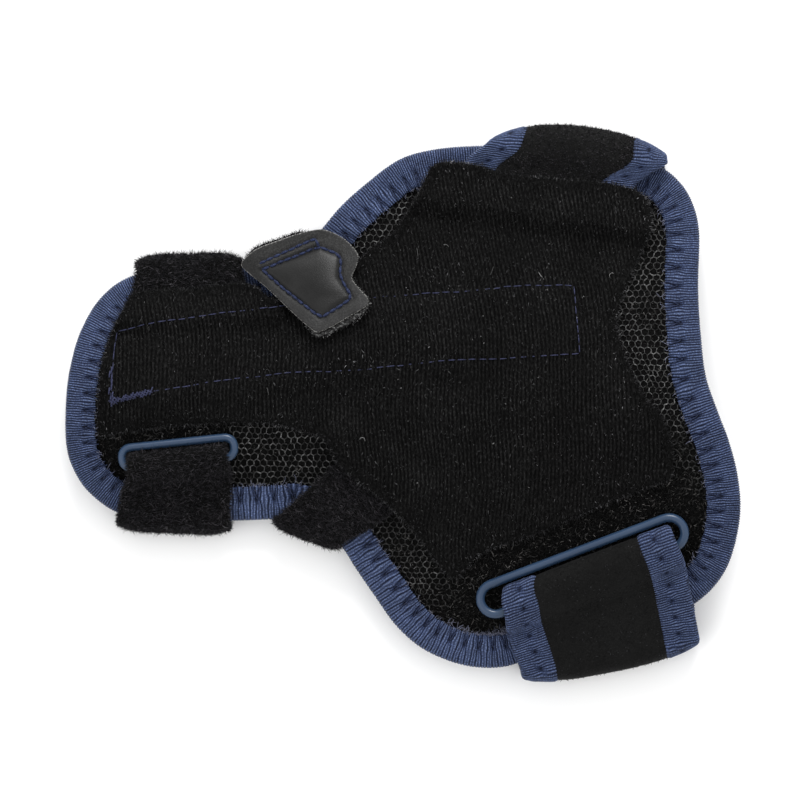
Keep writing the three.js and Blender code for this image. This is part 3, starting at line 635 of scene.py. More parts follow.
def paint(tree, shader, colour, *shades):
    """Colour of a surface, made darker or lighter by each shade in turn."""
    for shade in shades:
        colour = mix_colour(tree, 1.0, colour, shade, "MULTIPLY")
    tree.links.new(colour, shader.inputs["Base Color"])


def bump(tree, shader, height, strength, distance):
    node = add_node(tree, "ShaderNodeBump", {"Height": height, "Strength": strength, "Distance": distance})
    tree.links.new(node.outputs["Normal"], shader.inputs["Normal"])


def attribute(tree, name):
    return add_node(tree, "ShaderNodeAttribute", attribute_name=name).outputs["Fac"]


def elastic_material():
    """Ribbed blue-grey elastic: pale twisted yarns, with painted shade that darkens the gaps between the ribs
    to navy and darkens the needle dimples and stitch grooves.
    """
    material, tree, shader = new_material("elastic_binding")
    rise = attribute(tree, "rise")
    cloth = {"X": attribute(tree, "run"), "Y": attribute(tree, "side")}
    beads = add_node(tree, "ShaderNodeCombineXYZ", cloth)
    grain = noise(tree, beads.outputs[0], 2.4, 2.0, 0.75)
    patches = noise(tree, beads.outputs[0], 0.2, 2.0, 0.5)
    # Colour by rib height: pale crests, and painted shade that darkens the valleys, needle dimples and stitch
    # grooves.
    yarn_with_painted_shade = ramp(tree, rise, [(0.0, (0.0020, 0.0036, 0.012)), (0.40, (0.0085, 0.0145, 0.040)),
                             (0.78, (0.040, 0.057, 0.119)), (1.0, (0.092, 0.122, 0.216))])
    speck = ramp(tree, grain, [(0.3, 0.25), (0.5, 0.9), (0.68, 2.0)])
    broad = ramp(tree, patches, [(0.3, 0.72), (0.7, 1.1)])
    paint(tree, shader, yarn_with_painted_shade, speck, broad)
    surface(shader, 0.65, 0.12, 0.04)
    shader.inputs["Sheen Roughness"].default_value = 0.4
    wave = {"Vector": beads.outputs[0], "Scale": 0.55, "Distortion": 2.2}
    twist = add_node(tree, "ShaderNodeTexWave", wave, bands_direction="Y")
    height = math_node(tree, "ADD", math_node(tree, "MULTIPLY", twist.outputs["Fac"], 0.5), grain)
    bump(tree, shader, height, 0.6, 0.0002)
    return material


def loop_material():
    """Ribbed black loop cloth: columns of small knit loops with lighter fibre specks, and painted shade
    darkening the grooves between the columns.
    """
    material, tree, shader = new_material("loop_cloth")
    fibres = noise(tree, object_space(tree, (1, 0.42, 0.42)), 2300, 3.0, 0.75)
    broad = noise(tree, object_space(tree), 55, 3.0, 0.6)
    # Colour by knit height: painted shade, darker in the grooves between the columns.
    base = ramp(tree, attribute(tree, "rise"), [(0.0, 0.0012), (0.45, 0.0032), (1.0, 0.0076)])
    specks = ramp(tree, fibres, [(0.34, 0.35), (0.5, 0.9), (0.62, 2.2), (0.72, 5.0)])
    shade = ramp(tree, broad, [(0.3, 0.75), (0.7, 1.25)])
    paint(tree, shader, base, specks, shade)
    surface(shader, 0.95, 0.04, 0.01)
    bump(tree, shader, fibres, 0.9, 0.0003)
    return material


def fleece_material(name, dark, light):
    """Brushed fuzzy strap cloth: soft matted pile with pale hair ends."""
    material, tree, shader = new_material(name)
    hair = noise(tree, object_space(tree, (0.55, 1.6, 1.0)), 1400, 4.0, 0.75)
    broad = noise(tree, object_space(tree), 160, 3.0, 0.6)
    colour = ramp(tree, hair, [(0.3, dark * 0.5), (0.5, dark), (0.66, light), (0.8, light * 2)])
    shade = ramp(tree, broad, [(0.3, 0.7), (0.7, 1.25)])
    paint(tree, shader, colour, shade)
    surface(shader, 0.95, 0.04, 0.02)
    bump(tree, shader, hair, 0.8, 0.0003)
    return material


def fibre_material(name, stops):
    """Loose fibres, each with its own tone."""
    material, tree, shader = new_material(name)
    flecks = noise(tree, object_space(tree), 900, 2.0, 0.5)
    colour = ramp(tree, attribute(tree, "tone"), stops)
    shade = ramp(tree, flecks, [(0.3, 0.8), (0.7, 1.2)])
    paint(tree, shader, colour, shade)
    surface(shader, 0.7, 0.08, FIBRE_SHEEN)
    return material


def smooth_strap_material():
    """Smooth black knit over foam: a very fine even weave with a faint sheen."""
    material, tree, shader = new_material("smooth_strap")
    weave = noise(tree, object_space(tree), 2600, 2.0, 0.6)
    broad = noise(tree, object_space(tree), 70, 4.0, 0.6)
    colour = ramp(tree, weave, [(0.32, 0.0030), (0.5, 0.0050), (0.68, 0.0085)])
    shade = ramp(tree, broad, [(0.32, 0.82), (0.68, 1.18)])
    paint(tree, shader, colour, shade)
    surface(shader, 0.75, 0.06, 0.015)
    bump(tree, shader, weave, 0.35, 0.00015)
    return material


def foam_material():
    """Black foam and lining under the net."""
    material, tree, shader = new_material("foam_mesh")
    pores = add_node(tree, "ShaderNodeTexVoronoi", {"Vector": object_space(tree), "Scale": 900.0})
    fine = noise(tree, object_space(tree), 1500, 3.0, 0.6)
    tree.links.new(ramp(tree, fine, [(0.3, 0.0012), (0.7, 0.0045)]), shader.inputs["Base Color"])
    surface(shader, 0.9, 0.04)
    bump(tree, shader, pores.outputs["Distance"], 0.5, 0.0003)
    return material


def net_material():
    """Grey knitted strands of the spacer net."""
    material, tree, shader = new_material("net_strand")
    twist = noise(tree, object_space(tree), 2200, 3.0, 0.7)
    strand = ramp(tree, attribute(tree, "tone"), [(0.0, 0.007), (0.3, 0.020), (0.6, 0.050), (1.0, 0.135)])
    shade = ramp(tree, twist, [(0.32, 0.3), (0.5, 1.0), (0.66, 2.2)])
    paint(tree, shader, strand, shade)
    surface(shader, 0.5, 0.15)
    bump(tree, shader, twist, 0.6, 0.0001)
    return material


def leather_material():
    """Dark leather: a matte grained border, a glossier padded middle and a pale cut edge, with broad patches
    of painted sheen and shade.
    """
    material, tree, shader = new_material("tab_leather")
    grain = add_node(tree, "ShaderNodeTexVoronoi", {"Vector": object_space(tree), "Scale": 2100.0},
                     feature="DISTANCE_TO_EDGE")
    fine = noise(tree, object_space(tree), 2400, 3.0, 0.65)
    broad = noise(tree, object_space(tree), 60, 3.0, 0.5)
    middle = attribute(tree, "middle")
    border = ramp(tree, fine, [(0.35, 0.004), (0.5, 0.009), (0.65, 0.021)])
    skin = ramp(tree, fine, [(0.3, 0.004), (0.7, 0.008)])
    colour = mix_colour(tree, middle, border, skin)
    # Broad lighter and darker patches: painted sheen and shade that stand in for how the tab's curved slopes
    # catch the light.
    shade = ramp(tree, broad, [(0.42, 0.6), (0.58, 1.5)])
    colour = mix_colour(tree, 1.0, colour, shade, "MULTIPLY")
    worn = math_node(tree, "MULTIPLY", attribute(tree, "edge"), ramp(tree, fine, [(0.46, 0.0), (0.58, 0.8)]))
    tree.links.new(mix_colour(tree, worn, colour, (0.45, 0.44, 0.42)), shader.inputs["Base Color"])
    tree.links.new(ramp(tree, middle, [(0.0, 0.55), (1.0, 0.36)]), shader.inputs["Roughness"])
    shader.inputs["Specular IOR Level"].default_value = 0.22
    height = math_node(tree, "ADD", grain.outputs["Distance"], math_node(tree, "MULTIPLY", fine, 0.4))
    bump(tree, shader, height, 0.5, 0.0001)
    return material


def hook_material():
    """Black hook tape with pale worn specks."""
    material, tree, shader = new_material("hook_pad")
    fine = noise(tree, object_space(tree), 1200, 3.0, 0.6)
    tree.links.new(ramp(tree, fine, [(0.35, 0.006), (0.52, 0.03), (0.66, 0.22)]), shader.inputs["Base Color"])
    surface(shader, 0.5, 0.15)
    bump(tree, shader, fine, 0.4, 0.0002)
    return material


def ring_material():
    """Glossy blue-grey plastic with faint handling marks."""
    material, tree, shader = new_material("ring_plastic")
    marks = noise(tree, object_space(tree, (0.3, 1, 1)), 420, 4.0, 0.6)
    broad = noise(tree, object_space(tree), 60, 2.0, 0.5)
    tree.links.new(ramp(tree, broad, [(0.3, (0.017, 0.036, 0.074)), (0.7, (0.023, 0.046, 0.090))]),
                   shader.inputs["Base Color"])
    tree.links.new(ramp(tree, marks, [(0.3, 0.24), (0.7, 0.38)]), shader.inputs["Roughness"])
    shader.inputs["Specular IOR Level"].default_value = 0.3
    shader.inputs["Coat Weight"].default_value = 0.15
    shader.inputs["Coat Roughness"].default_value = 0.15
    bump(tree, shader, marks, 0.08, 0.0001)
    return material


def thread_material(name, dark, light):
    material, tree, shader = new_material(name)
    twist = noise(tree, object_space(tree), 3000, 2.0, 0.6)
    tree.links.new(ramp(tree, twist, [(0.35, dark), (0.65, light)]), shader.inputs["Base Color"])
    surface(shader, 0.6, 0.12, 0.05)
    bump(tree, shader, twist, 0.5, 0.0001)
    return material


def floor_material():
    material, tree, shader = new_material("pale_floor")
    speck = noise(tree, object_space(tree), 40, 2.0, 0.5)
    tree.links.new(ramp(tree, speck, [(0.0, 0.94), (1.0, 0.97)]), shader.inputs["Base Color"])
    surface(shader, 0.8, 0.2)
    return material


# Body, net and binding

def body_piece(material):
    outline = inset(smooth_outline(BODY_OUTLINE, 1.2), BINDING_WALL + 2 * CLEARANCE)
    plan, faces = sheet_points(outline, [], 2.0, 2.0, 1.0)
    x, y = plan.T
    middle = surface_height(x, y)
    dimple = 0.08 * soft_noise(x, y, 9, 3)
    low = middle - BODY_TOP + 0.06 * soft_noise(x, y, 14, 4)
    points, faces = closed_sheet(plan, faces, low, middle + BODY_TOP + dimple)
    piece = make_piece("body_cloth", points, faces, material)
    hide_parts("body_panel")


def uneven(points):
    """Moves each crossing of the net a little, the same way for every strand that meets there."""
    x, y = points.T
    drift = np.stack([0.35 * soft_noise(x, y, 13, 11), 0.35 * soft_noise(x, y, 15, 12)], axis=1)
    first = np.sin(x * 12.9898 + y * 78.233) * 437.585
    second = np.sin(x * 39.346 + y * 11.135) * 437.585
    jitter = np.stack([first - np.floor(first), second - np.floor(second)], axis=1) - 0.5
    return points + drift + jitter * 0.38


def net_piece(material):
    """Strands of the net where the body shows between the loop panel and the binding."""
    body = smooth_outline(BODY_OUTLINE, 2.0)
    panel = smooth_outline(PANEL_OUTLINE, 2.0)
    columns = math.ceil(BODY_LENGTH / NET_CELL_WIDTH)
    rows = math.ceil(BODY_WIDTH / (0.75 * NET_CELL_HEIGHT))
    i, j = np.meshgrid(np.arange(columns), np.arange(rows))
    x = (i + 0.5 * (j % 2)).ravel() * NET_CELL_WIDTH
    y = j.ravel() * 0.75 * NET_CELL_HEIGHT
    half_width = NET_CELL_WIDTH / 2
    top = np.stack([x, y + NET_CELL_HEIGHT / 2], axis=1)
    right_high = np.stack([x + half_width, y + NET_CELL_HEIGHT / 4], axis=1)
    right_low = np.stack([x + half_width, y - NET_CELL_HEIGHT / 4], axis=1)
    left_high = np.stack([x - half_width, y + NET_CELL_HEIGHT / 4], axis=1)
    starts = np.concatenate([left_high, top, right_high])
    ends = np.concatenate([top, right_high, right_low])
    middle = (starts + ends) / 2
    shows = is_inside(middle[:, 0], middle[:, 1], body)
    shows &= outline_distance(middle[:, 0], middle[:, 1], body) > BINDING_SHOW - 1.6
    under_panel = is_inside(middle[:, 0], middle[:, 1], panel)
    under_panel &= outline_distance(middle[:, 0], middle[:, 1], panel) > 1.0
    shows &= ~under_panel
    draw = np.random.default_rng(SEEDS["net"])
    veil = fuzz_share(middle[:, 0], middle[:, 1])
    shows &= draw.random(len(middle)) > (veil - 0.45) * 2
    starts = uneven(starts[shows])
    ends = uneven(ends[shows])
    veil = veil[shows]
    stations = np.array([-0.05, 0.33, 0.67, 1.05])
    plan = starts[:, None, :] + (ends - starts)[:, None, :] * stations[None, :, None]
    sag = draw.normal(0, 0.09, (len(starts), 1)) * np.array([[0, 1, 1, 0]])
    plan[..., 0] += sag
    bulge = draw.uniform(0.05, 0.4, (len(starts), 1)) * np.array([[0.0, 1.0, 1.0, 0.0]])
    height = surface_height(plan[..., 0], plan[..., 1]) + BODY_TOP + 0.12 + bulge
    radii = NET_STRAND * draw.uniform(0.65, 1.2, (len(starts), 1)) * np.array([[1.3, 0.85, 0.85, 1.3]])
    points, faces = tube_field(np.concatenate([plan, height[..., None]], axis=2), radii, 4, 0.8)
    tone = np.repeat(draw.random(len(starts)) * (1 - 0.8 * veil), 4 * 4)
    piece = make_piece("body_net", points, faces, material, attributes={"tone": tone})


def fuzz_share(x, y):
    """How thickly loose fibres cover the net, from 0 to 1."""
    share = np.full(np.shape(x), 0.15)
    for along, across, spread, most in NET_FUZZ_PLACES:
        spot = place(along, across)
        share = np.maximum(share, most * np.exp(-(((x - spot[0]) ** 2 + (y - spot[1]) ** 2) / spread**2)))
    return share


def net_fuzz(material):
    """Loose fibres over the net, thick beside the rings and thin elsewhere."""
    draw = np.random.default_rng(SEEDS["fuzz"])
    body = inset(smooth_outline(BODY_OUTLINE, 2.0), BINDING_SHOW - 0.7)
    panel = smooth_outline(PANEL_OUTLINE, 2.0)
    x, y = scatter_inside(body, COUNTS["net_fuzz"], draw)
    keep = draw.random(len(x)) < fuzz_share(x, y)
    x = x[keep]
    y = y[keep]
    keep = ~is_inside(x, y, panel) | (outline_distance(x, y, panel) < 1.2)
    x = x[keep]
    y = y[keep]
    veil = fuzz_share(x, y)
    rise = draw.uniform(0, 0.35 + 0.5 * veil, len(x))
    roots = np.stack([x, y, surface_height(x, y) + BODY_TOP + rise], axis=1)
    leans = draw.normal(0, 1, (len(x), 3)) * np.array([1, 1, 0.35]) + np.array([0, 0, 0.25])
    leans = unit(leans)
    lengths = draw.uniform(0.4, 1.3, len(x))
    points, faces = fibre_field(roots, leans, lengths, FIBRE_WIDTHS["net"], draw, 0.4)
    tone = np.repeat(draw.random(len(x)) ** 2.2, 5)
    piece = make_piece("body_net_fuzz", points, faces, material, attributes={"tone": tone})


def stretch(x, y):
    """How much the elastic is stretched, from 0 to 1: most along the inner curve of the lower edge."""
    along = x / BODY_LENGTH
    across = y / BODY_WIDTH
    lower = ease((0.42 - across) / 0.14) * ease((0.74 - along) / 0.12) * ease((along - 0.09) / 0.08)
    upper = ease((across - 0.72) / 0.08) * ease((0.50 - along) / 0.1) * ease((along - 0.22) / 0.08)
    return lower + 0.5 * upper


def rib_rows():
    """Outline with ROWS_PER_RIB points to each rib of the elastic, the arc length there, and its total."""
    outline, run = even(spline(placed(BODY_OUTLINE), True, CURVE_SAMPLES), 0.25, True)
    step = run[1]
    total = run[-1] + step
    ribs = np.cumsum(step / (ELASTIC_PITCH * (1 + 0.2 * stretch(outline[:, 0], outline[:, 1]))))
    ribs = np.concatenate([[0], ribs])
    rows = 2 * round(ribs[-1] / 2) * ROWS_PER_RIB
    at = np.interp(np.arange(rows) / rows, ribs / ribs[-1], np.append(run, total))
    closed = np.concatenate([outline, outline[:1]])
    line = np.stack([np.interp(at, np.append(run, total), closed[:, k]) for k in range(2)], axis=1)
    return line, at, total


def rib_rise(turns, pairing):
    """Rise of the elastic's ribs, from 0 to 1; where it is stretched they stand in pairs."""
    single = (0.5 + 0.5 * np.cos(turns * math.tau)) ** 0.7
    pair = 0.5 + 0.5 * np.cos((turns - 0.5) * math.pi)
    return single + (1 - single) * 0.45 * pairing * pair


def from_nearest_stitch(stitch):
    """Distance along the elastic from the nearest zigzag stitch, as a column."""
    return (((stitch + 0.5) % 1 - 0.5) * ZIGZAG_PITCH)[:, None]


def stitch_marks(from_stitch, deep, pinch_depth):
    """How far each stitch pulls the ribs beside it, and its needle's dimple from 0 to 1."""
    beside = np.exp(-((from_stitch / PINCH_WIDTH) ** 2))
    pinch = PINCH_PULL * from_stitch * beside * np.exp(-((deep / pinch_depth) ** 2))
    needle = np.exp(-((from_stitch / NEEDLE_WIDTH) ** 2) - (deep / NEEDLE_DEPTH) ** 2)
    return pinch, needle


def binding_show(outline):
    """Width of binding seen from above: narrower round the thumb end."""
    along = outline[:, 0] / BODY_LENGTH
    return BINDING_SHOW - 1.0 * ease((0.22 - along) / 0.15)


def binding_profile():
    """Half of the binding's U section: distance inward, height over the middle surface, outward pull."""
    outside = BINDING_OUTSIDE
    wall = BINDING_WALL
    return np.array([
        # inward, over, rib share, way out (inward, over)
        [0.990, outside - 0.85 * wall, 0.3, 1, 0],
        [1.000, outside - 0.40 * wall, 0.9, 1.2, 0.6],
        [0.978, outside - 0.06, 1, 0.6, 1],
        [0.900, outside + 0.06, 1, 0, 1],
        [0.800, outside + 0.05, 1, 0, 1],
        [0.700, outside - 0.02, 1, 0, 1],
        [0.610, outside - 0.04, 1, 0, 1],
        [0.520, outside - 0.02, 1, 0, 1],
        [0.420, outside + 0.03, 1, 0, 1],
        [0.310, outside + 0.06, 1, 0, 1],
        [0.200, outside + 0.04, 1, -0.1, 1],
        [0.115, outside - 0.12, 1, -0.4, 1],
        [0.048, outside - 0.70, 1, -0.8, 0.6],
        [0.008, outside - 1.60, 1, -1, 0.3],
    ])


def binding_piece(material):
    """Ribbed elastic folded round the edge, with a needle dimple at each zigzag stitch."""
    outline, run, total = rib_rows()
    inward = inward_directions(outline)
    half = binding_profile()
    lower = half[::-2] * np.array([1, -1, 1, 1, -1])
    edge = np.array([[0.0, 0.0, 1, -1, 0]])
    inner = np.array([
        # inward, over, rib share, way out (inward, over)
        [0.97, -BINDING_INSIDE + 0.35, 0, 0, 0], [0.14, -BINDING_INSIDE + 0.35, 0, 0, 0],
        [0.115, 0, 0, 0, 0],
        [0.14, BINDING_INSIDE - 0.35, 0, 0, 0], [0.97, BINDING_INSIDE - 0.35, 0, 0, 0],
    ])
    section = np.concatenate([half, edge, lower, inner])
    turns = np.arange(len(outline)) / ROWS_PER_RIB
    stretched = stretch(outline[:, 0], outline[:, 1])[:, None]
    zigzags = round(total / ZIGZAG_PITCH)
    stitch = run / total * zigzags
    show = binding_show(outline) + 0.12 * np.cos(stitch * math.tau) + 0.14 * soft_noise(run, run * 0, 11, 5)
    reach = section[None, :, 0] * show[:, None]
    from_stitch = from_nearest_stitch(stitch)
    side = np.sign(section[None, :, 1]) * section[None, :, 2]
    deep = reach - NEEDLE_REACH
    pinch, needle = stitch_marks(from_stitch, deep, 1.5)
    waver = 0.11 * soft_noise(run[:, None], reach * 1.4 + side * 9, 5.5, 6)
    rib = rib_rise(turns[:, None] + (pinch + waver) / ELASTIC_PITCH, 0.3 + 0.7 * stretched)
    legs = np.exp(-((np.abs(from_stitch) - 0.28 * deep) / 0.3) ** 2) * ease(deep / 0.5)
    lift = (rib - RIB_LEVEL) * ELASTIC_HEIGHT * section[None, :, 2]
    puff = 0.14 * np.cos(stitch * math.tau + math.pi)[:, None] * ease((reach - 3) / 4)
    wave = (0.12 * soft_noise(run, run * 0, 17, 7)[:, None] + puff) * np.abs(section[None, :, 4])
    sink = (0.5 * needle + 0.2 * legs) * side
    reach = reach + lift * section[None, :, 3]
    over = section[None, :, 1] + (lift + wave) * section[None, :, 4] - sink
    x = outline[:, None, 0] + inward[:, None, 0] * reach
    y = outline[:, None, 1] + inward[:, None, 1] * reach
    z = surface_height(x, y) + over
    points = np.stack([x, y, z], axis=2).reshape(-1, 3)
    shape = reach.shape
    # This rise also sets the colour: painted shade darkens the rib valleys, the needle dimples and the zigzag
    # grooves.
    rise = np.clip(rib - 0.85 * needle - 0.45 * legs, 0, 1)
    attributes = {
        "rise": np.broadcast_to(rise, shape).ravel(),
        "run": np.broadcast_to(run[:, None], shape).ravel(),
        "side": (reach * np.sign(section[None, :, 1])).ravel(),
    }
    faces = loft_faces(len(outline), len(section), True)
    piece = make_piece("edge_binding_elastic", points, faces, material, attributes=attributes)
    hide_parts("edge_binding")


def binding_stitches(material):
    """Navy zigzag thread near the binding's inner edge."""
    outline, run = even(spline(placed(BODY_OUTLINE), True, CURVE_SAMPLES), 0.4, True)
    inward = inward_directions(outline)
    total = run[-1] + run[1]
    zigzags = round(total / ZIGZAG_PITCH)
    draw = np.random.default_rng(SEEDS["zigzag"])
    share = np.linspace(0, 1, 5)
    paths = []
    for k in range(zigzags):
        start = k / zigzags * total
        for way in (-1, 1):
            far = 1.05 + draw.normal(0, 0.12)
            at = (start + way * mix(0.05, far, share)) % total
            reach = mix(NEEDLE_REACH, NEEDLE_REACH + 3.4, share) + draw.normal(0, 0.08)
            here = (at / total * len(outline)).astype(int) % len(outline)
            x = outline[here, 0] + inward[here, 0] * reach
            y = outline[here, 1] + inward[here, 1] * reach
            dip = np.array([-0.42, -0.05, 0.0, 0.0, -0.25])
            paths.append(np.stack([x, y, surface_height(x, y) + BINDING_OUTSIDE + dip], axis=1))
    paths = np.array(paths)
    points, faces = tube_field(paths, np.full(paths.shape[:2], 0.13), 5)
    piece = make_piece("binding_zigzag", points, faces, material)


def frayed_threads(material):
    """Short loose ends along the binding's inner edge, most beside the wrist ring."""
    outline = smooth_outline(BODY_OUTLINE, 0.7)
    inward = inward_directions(outline)
    shares = outline / np.array([BODY_LENGTH, BODY_WIDTH])
    weight = np.full(len(outline), 1.0)
    weight += 7 * np.exp(-(((shares[:, 0] - 0.66) / 0.08) ** 2 + ((shares[:, 1] - 0.0) / 0.15) ** 2))
    weight += 1.5 * np.exp(-(((shares[:, 0] - 0.25) / 0.15) ** 2 + ((shares[:, 1] - 0.28) / 0.1) ** 2))
    draw = np.random.default_rng(SEEDS["frays"])
    count = COUNTS["frays"]
    at = draw.choice(len(outline), count, p=weight / weight.sum())
    reach = binding_show(outline)[at] + draw.normal(-0.2, 0.25, count)
    share = np.linspace(0, 1, 5)
    length = draw.uniform(0.5, 1.5, count) * np.where(draw.random(count) < 0.12, 1.9, 1)
    turn = draw.normal(0, 0.8, count)
    base = outline[at] + inward[at] * reach[:, None]
    heading = np.stack([
        inward[at, 0] * np.cos(turn) - inward[at, 1] * np.sin(turn),
        inward[at, 0] * np.sin(turn) + inward[at, 1] * np.cos(turn),
    ], axis=1)
    sideways = np.stack([-heading[:, 1], heading[:, 0]], axis=1)
    curl = draw.normal(0, 0.35, count)
    plan = base[:, None, :] + heading[:, None, :] * (length[:, None] * share)[..., None]
    plan += sideways[:, None, :] * (curl[:, None] * np.sin(share * 3) * length[:, None])[..., None]
    height = surface_height(plan[..., 0], plan[..., 1]) + BINDING_OUTSIDE - 0.2
    height += draw.uniform(0.0, 0.7, count)[:, None] * np.sin(share * 2.4)
    paths = np.concatenate([plan, height[..., None]], axis=2)
    radii = np.broadcast_to(np.array([0.08, 0.075, 0.07, 0.06, 0.04]), (count, 5))
    points, faces = tube_field(paths, radii, 3)
    piece = make_piece("binding_fray", points, faces, material)


# Loop panel

def panel_surface(x, y):
    """Top of the loop cloth without its ribs."""
    swell = 0.18 * soft_noise(x, y, 31, 41) + 0.1 * soft_noise(x, y, 12, 42)
    return surface_height(x, y) + PANEL_TOP + panel_rise(x, y) + swell


def seam_groove(x, y):
    """The stitched line round the pocket pulls the cloth down."""
    seam = even(spline(placed(POCKET_SEAM), True, 8), 2.5, True)[0]
    return 0.55 * np.exp(-((outline_distance(x, y, seam) / 0.9) ** 2))


def panel_rib(x, y):
    """Rise of the loop cloth's knit columns, which wander a little and slant near the wide strap."""
    slant = 0.14 * ease((y / BODY_WIDTH - 0.55) / 0.3) * (y - 0.55 * BODY_WIDTH)
    wander = 0.8 * soft_noise(x * 0.35, y, 38, 43) + 0.22 * soft_noise(x * 0.5, y, 6, 44)
    strength = 0.85 + 0.3 * soft_noise(x, y * 0.6, 7, 45)
    return 0.5 + 0.5 * np.cos((x + slant + wander) / PANEL_RIB_PITCH * math.tau) * np.clip(strength, 0.3, 1)


def panel_piece(material):
    outline = smooth_outline(PANEL_OUTLINE, 0.8)
    plan, faces = sheet_points(outline, [0.3, 0.8], PANEL_RIB_PITCH / 4, 1.9, 1.0)
    x, y = plan.T
    distance = outline_distance(x, y, outline)
    ribbed = ease((distance - PANEL_HEM + 0.8) / 1.6)
    rib = 0.4 + (panel_rib(x, y) - 0.4) * ribbed
    hem = 0.35 * np.exp(-(((distance - PANEL_HEM) / 0.6) ** 2))
    high = panel_surface(x, y) + PANEL_RIB_HEIGHT * (rib - 0.5) - seam_groove(x, y) - hem
    high -= edge_rounding(distance, 0.75)
    low = surface_height(x, y) + PANEL_BOTTOM + panel_rise(x, y)
    low += np.minimum(edge_rounding(distance, 0.3), 0.3)
    low = np.minimum(low, high - 0.25)
    points, faces = closed_sheet(plan, faces, low, high)
    # The cloth's colour follows this rise: painted shade in the grooves between the knit columns.
    rise = np.concatenate([rib, rib])
    piece = make_piece("loop_panel_cloth", points, faces, material, attributes={"rise": rise})
    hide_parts("loop_panel")


def scatter_inside(outline, count, draw):
    low = outline.min(axis=0)
    high = outline.max(axis=0)
    x = draw.uniform(low[0], high[0], count)
    y = draw.uniform(low[1], high[1], count)
    keep = is_inside(x, y, outline)
    return x[keep], y[keep]


def panel_pile(material):
    """Short brushed loops all over the panel, most of them on the knit columns, and its furry edge."""
    draw = np.random.default_rng(SEEDS["pile"])
    outline = smooth_outline(PANEL_OUTLINE, 1.0)
    x, y = scatter_inside(outline, COUNTS["panel_pile"], draw)
    keep = draw.random(len(x)) < 0.22 + 0.78 * panel_rib(x, y) ** 1.5
    x = x[keep]
    y = y[keep]
    roots = np.stack([x, y, panel_surface(x, y) - seam_groove(x, y) - 0.04], axis=1)
    leans = draw.normal(0, 1, (len(x), 3)) * np.array([0.5, 1.0, 0.2]) + np.array([0, 0, 0.4])
    lengths = draw.uniform(0.3, 0.95, len(x))
    inward = inward_directions(outline)
    edge_count = COUNTS["panel_edge"]
    at = draw.integers(0, len(outline), edge_count)
    plan = outline[at] + inward[at] * draw.uniform(0, 0.9, (edge_count, 1))
    plan += draw.normal(0, 0.25, plan.shape)
    high = panel_surface(plan[:, 0], plan[:, 1]) - draw.uniform(0.1, 1.0, edge_count)
    edge_leans = np.column_stack([-inward[at], np.full(edge_count, 0.1)])
    edge_leans = edge_leans + draw.normal(0, 0.5, (edge_count, 3))
    roots = np.concatenate([roots, np.column_stack([plan, high])])
    leans = np.concatenate([leans, edge_leans])
    leans = unit(leans)
    lengths = np.concatenate([lengths, draw.uniform(0.5, 1.3, edge_count)])
    points, faces = fibre_field(roots, leans, lengths, FIBRE_WIDTHS["panel"], draw, 0.35)
    patch = 0.8 + 0.2 * soft_noise(roots[:, 0], roots[:, 1], 24, 55)
    tone = np.repeat(draw.random(len(roots)) ** 1.5 * patch, 5)
    piece = make_piece("loop_panel_pile", points, faces, material, attributes={"tone": tone})


def stitch_run(route, height, pitch, length, radius, draw):
    """Sewn thread along a route: rounded stitches with their ends pulled into the cloth."""
    line, _ = even(route, pitch, False)
    share = np.linspace(-0.5, 0.5, 5) * (length / pitch)
    starts = line[:-1]
    steps = line[1:] - line[:-1]
    plan = starts[:, None, :] + steps[:, None, :] * (0.5 + share)[None, :, None]
    plan += draw.normal(0, 0.06, (len(starts), 1, 2))
    dip = np.array([-0.3, 0.06, 0.14, 0.06, -0.3])
    z = height(plan[..., 0], plan[..., 1]) + dip
    radii = np.broadcast_to(np.array([0.75, 1.0, 1.05, 1.0, 0.75]) * radius, plan.shape[:2])
    return np.concatenate([plan, z[..., None]], axis=2), radii


def pocket_stitches(material):
    draw = np.random.default_rng(SEEDS["pocket"])
    corners = placed(POCKET_SEAM)

    def height(x, y):
        return panel_surface(x, y) - seam_groove(x, y) + 0.1

    runs = []
    for first, last in POCKET_SIDES:
        route = even(corners[first : last + 1], 0.5, False)[0]
        route[1:-1] += soft_noise(route[1:-1, 0], route[1:-1, 1], 14, 62)[:, None] * np.array([0.1, 0.3])
        runs.append(stitch_run(route, height, 2.9, 2.65, 0.14, draw))
    paths = np.concatenate([run[0] for run in runs])
    radii = np.concatenate([run[1] for run in runs])
    tack = placed(POCKET_TACK)
    way = (tack[1] - tack[0]) / np.linalg.norm(tack[1] - tack[0])
    normal = np.array([-way[1], way[0]])
    share = np.linspace(-1, 1, 5)[:, None]
    arc = np.array([-0.1, 0.25, 0.4, 0.25, -0.1])
    extra = []
    for k in range(26):
        centre = mix(tack[0], tack[1], k / 25) + draw.normal(0, 0.12, 2)
        slant = way * 0.7 + normal * (0.95 if k % 2 else -0.95) * draw.uniform(0.4, 1.1)
        plan = centre + slant * share
        extra.append(np.column_stack([plan, height(plan[:, 0], plan[:, 1]) + arc]))
    for k in range(9):
        centre = tack[0] + np.array([draw.normal(0, 0.2), mix(-0.5, 9, k / 8)])
        plan = centre + share * np.array([0.12, 0.95])
        extra.append(np.column_stack([plan, height(plan[:, 0], plan[:, 1]) + arc]))
    extra = np.array(extra)
    paths = np.concatenate([paths, extra])
    radii = np.concatenate([radii, np.full(extra.shape[:2], 0.21)])
    points, faces = tube_field(paths, radii, 6)
    piece = make_piece("pocket_stitches", points, faces, material)


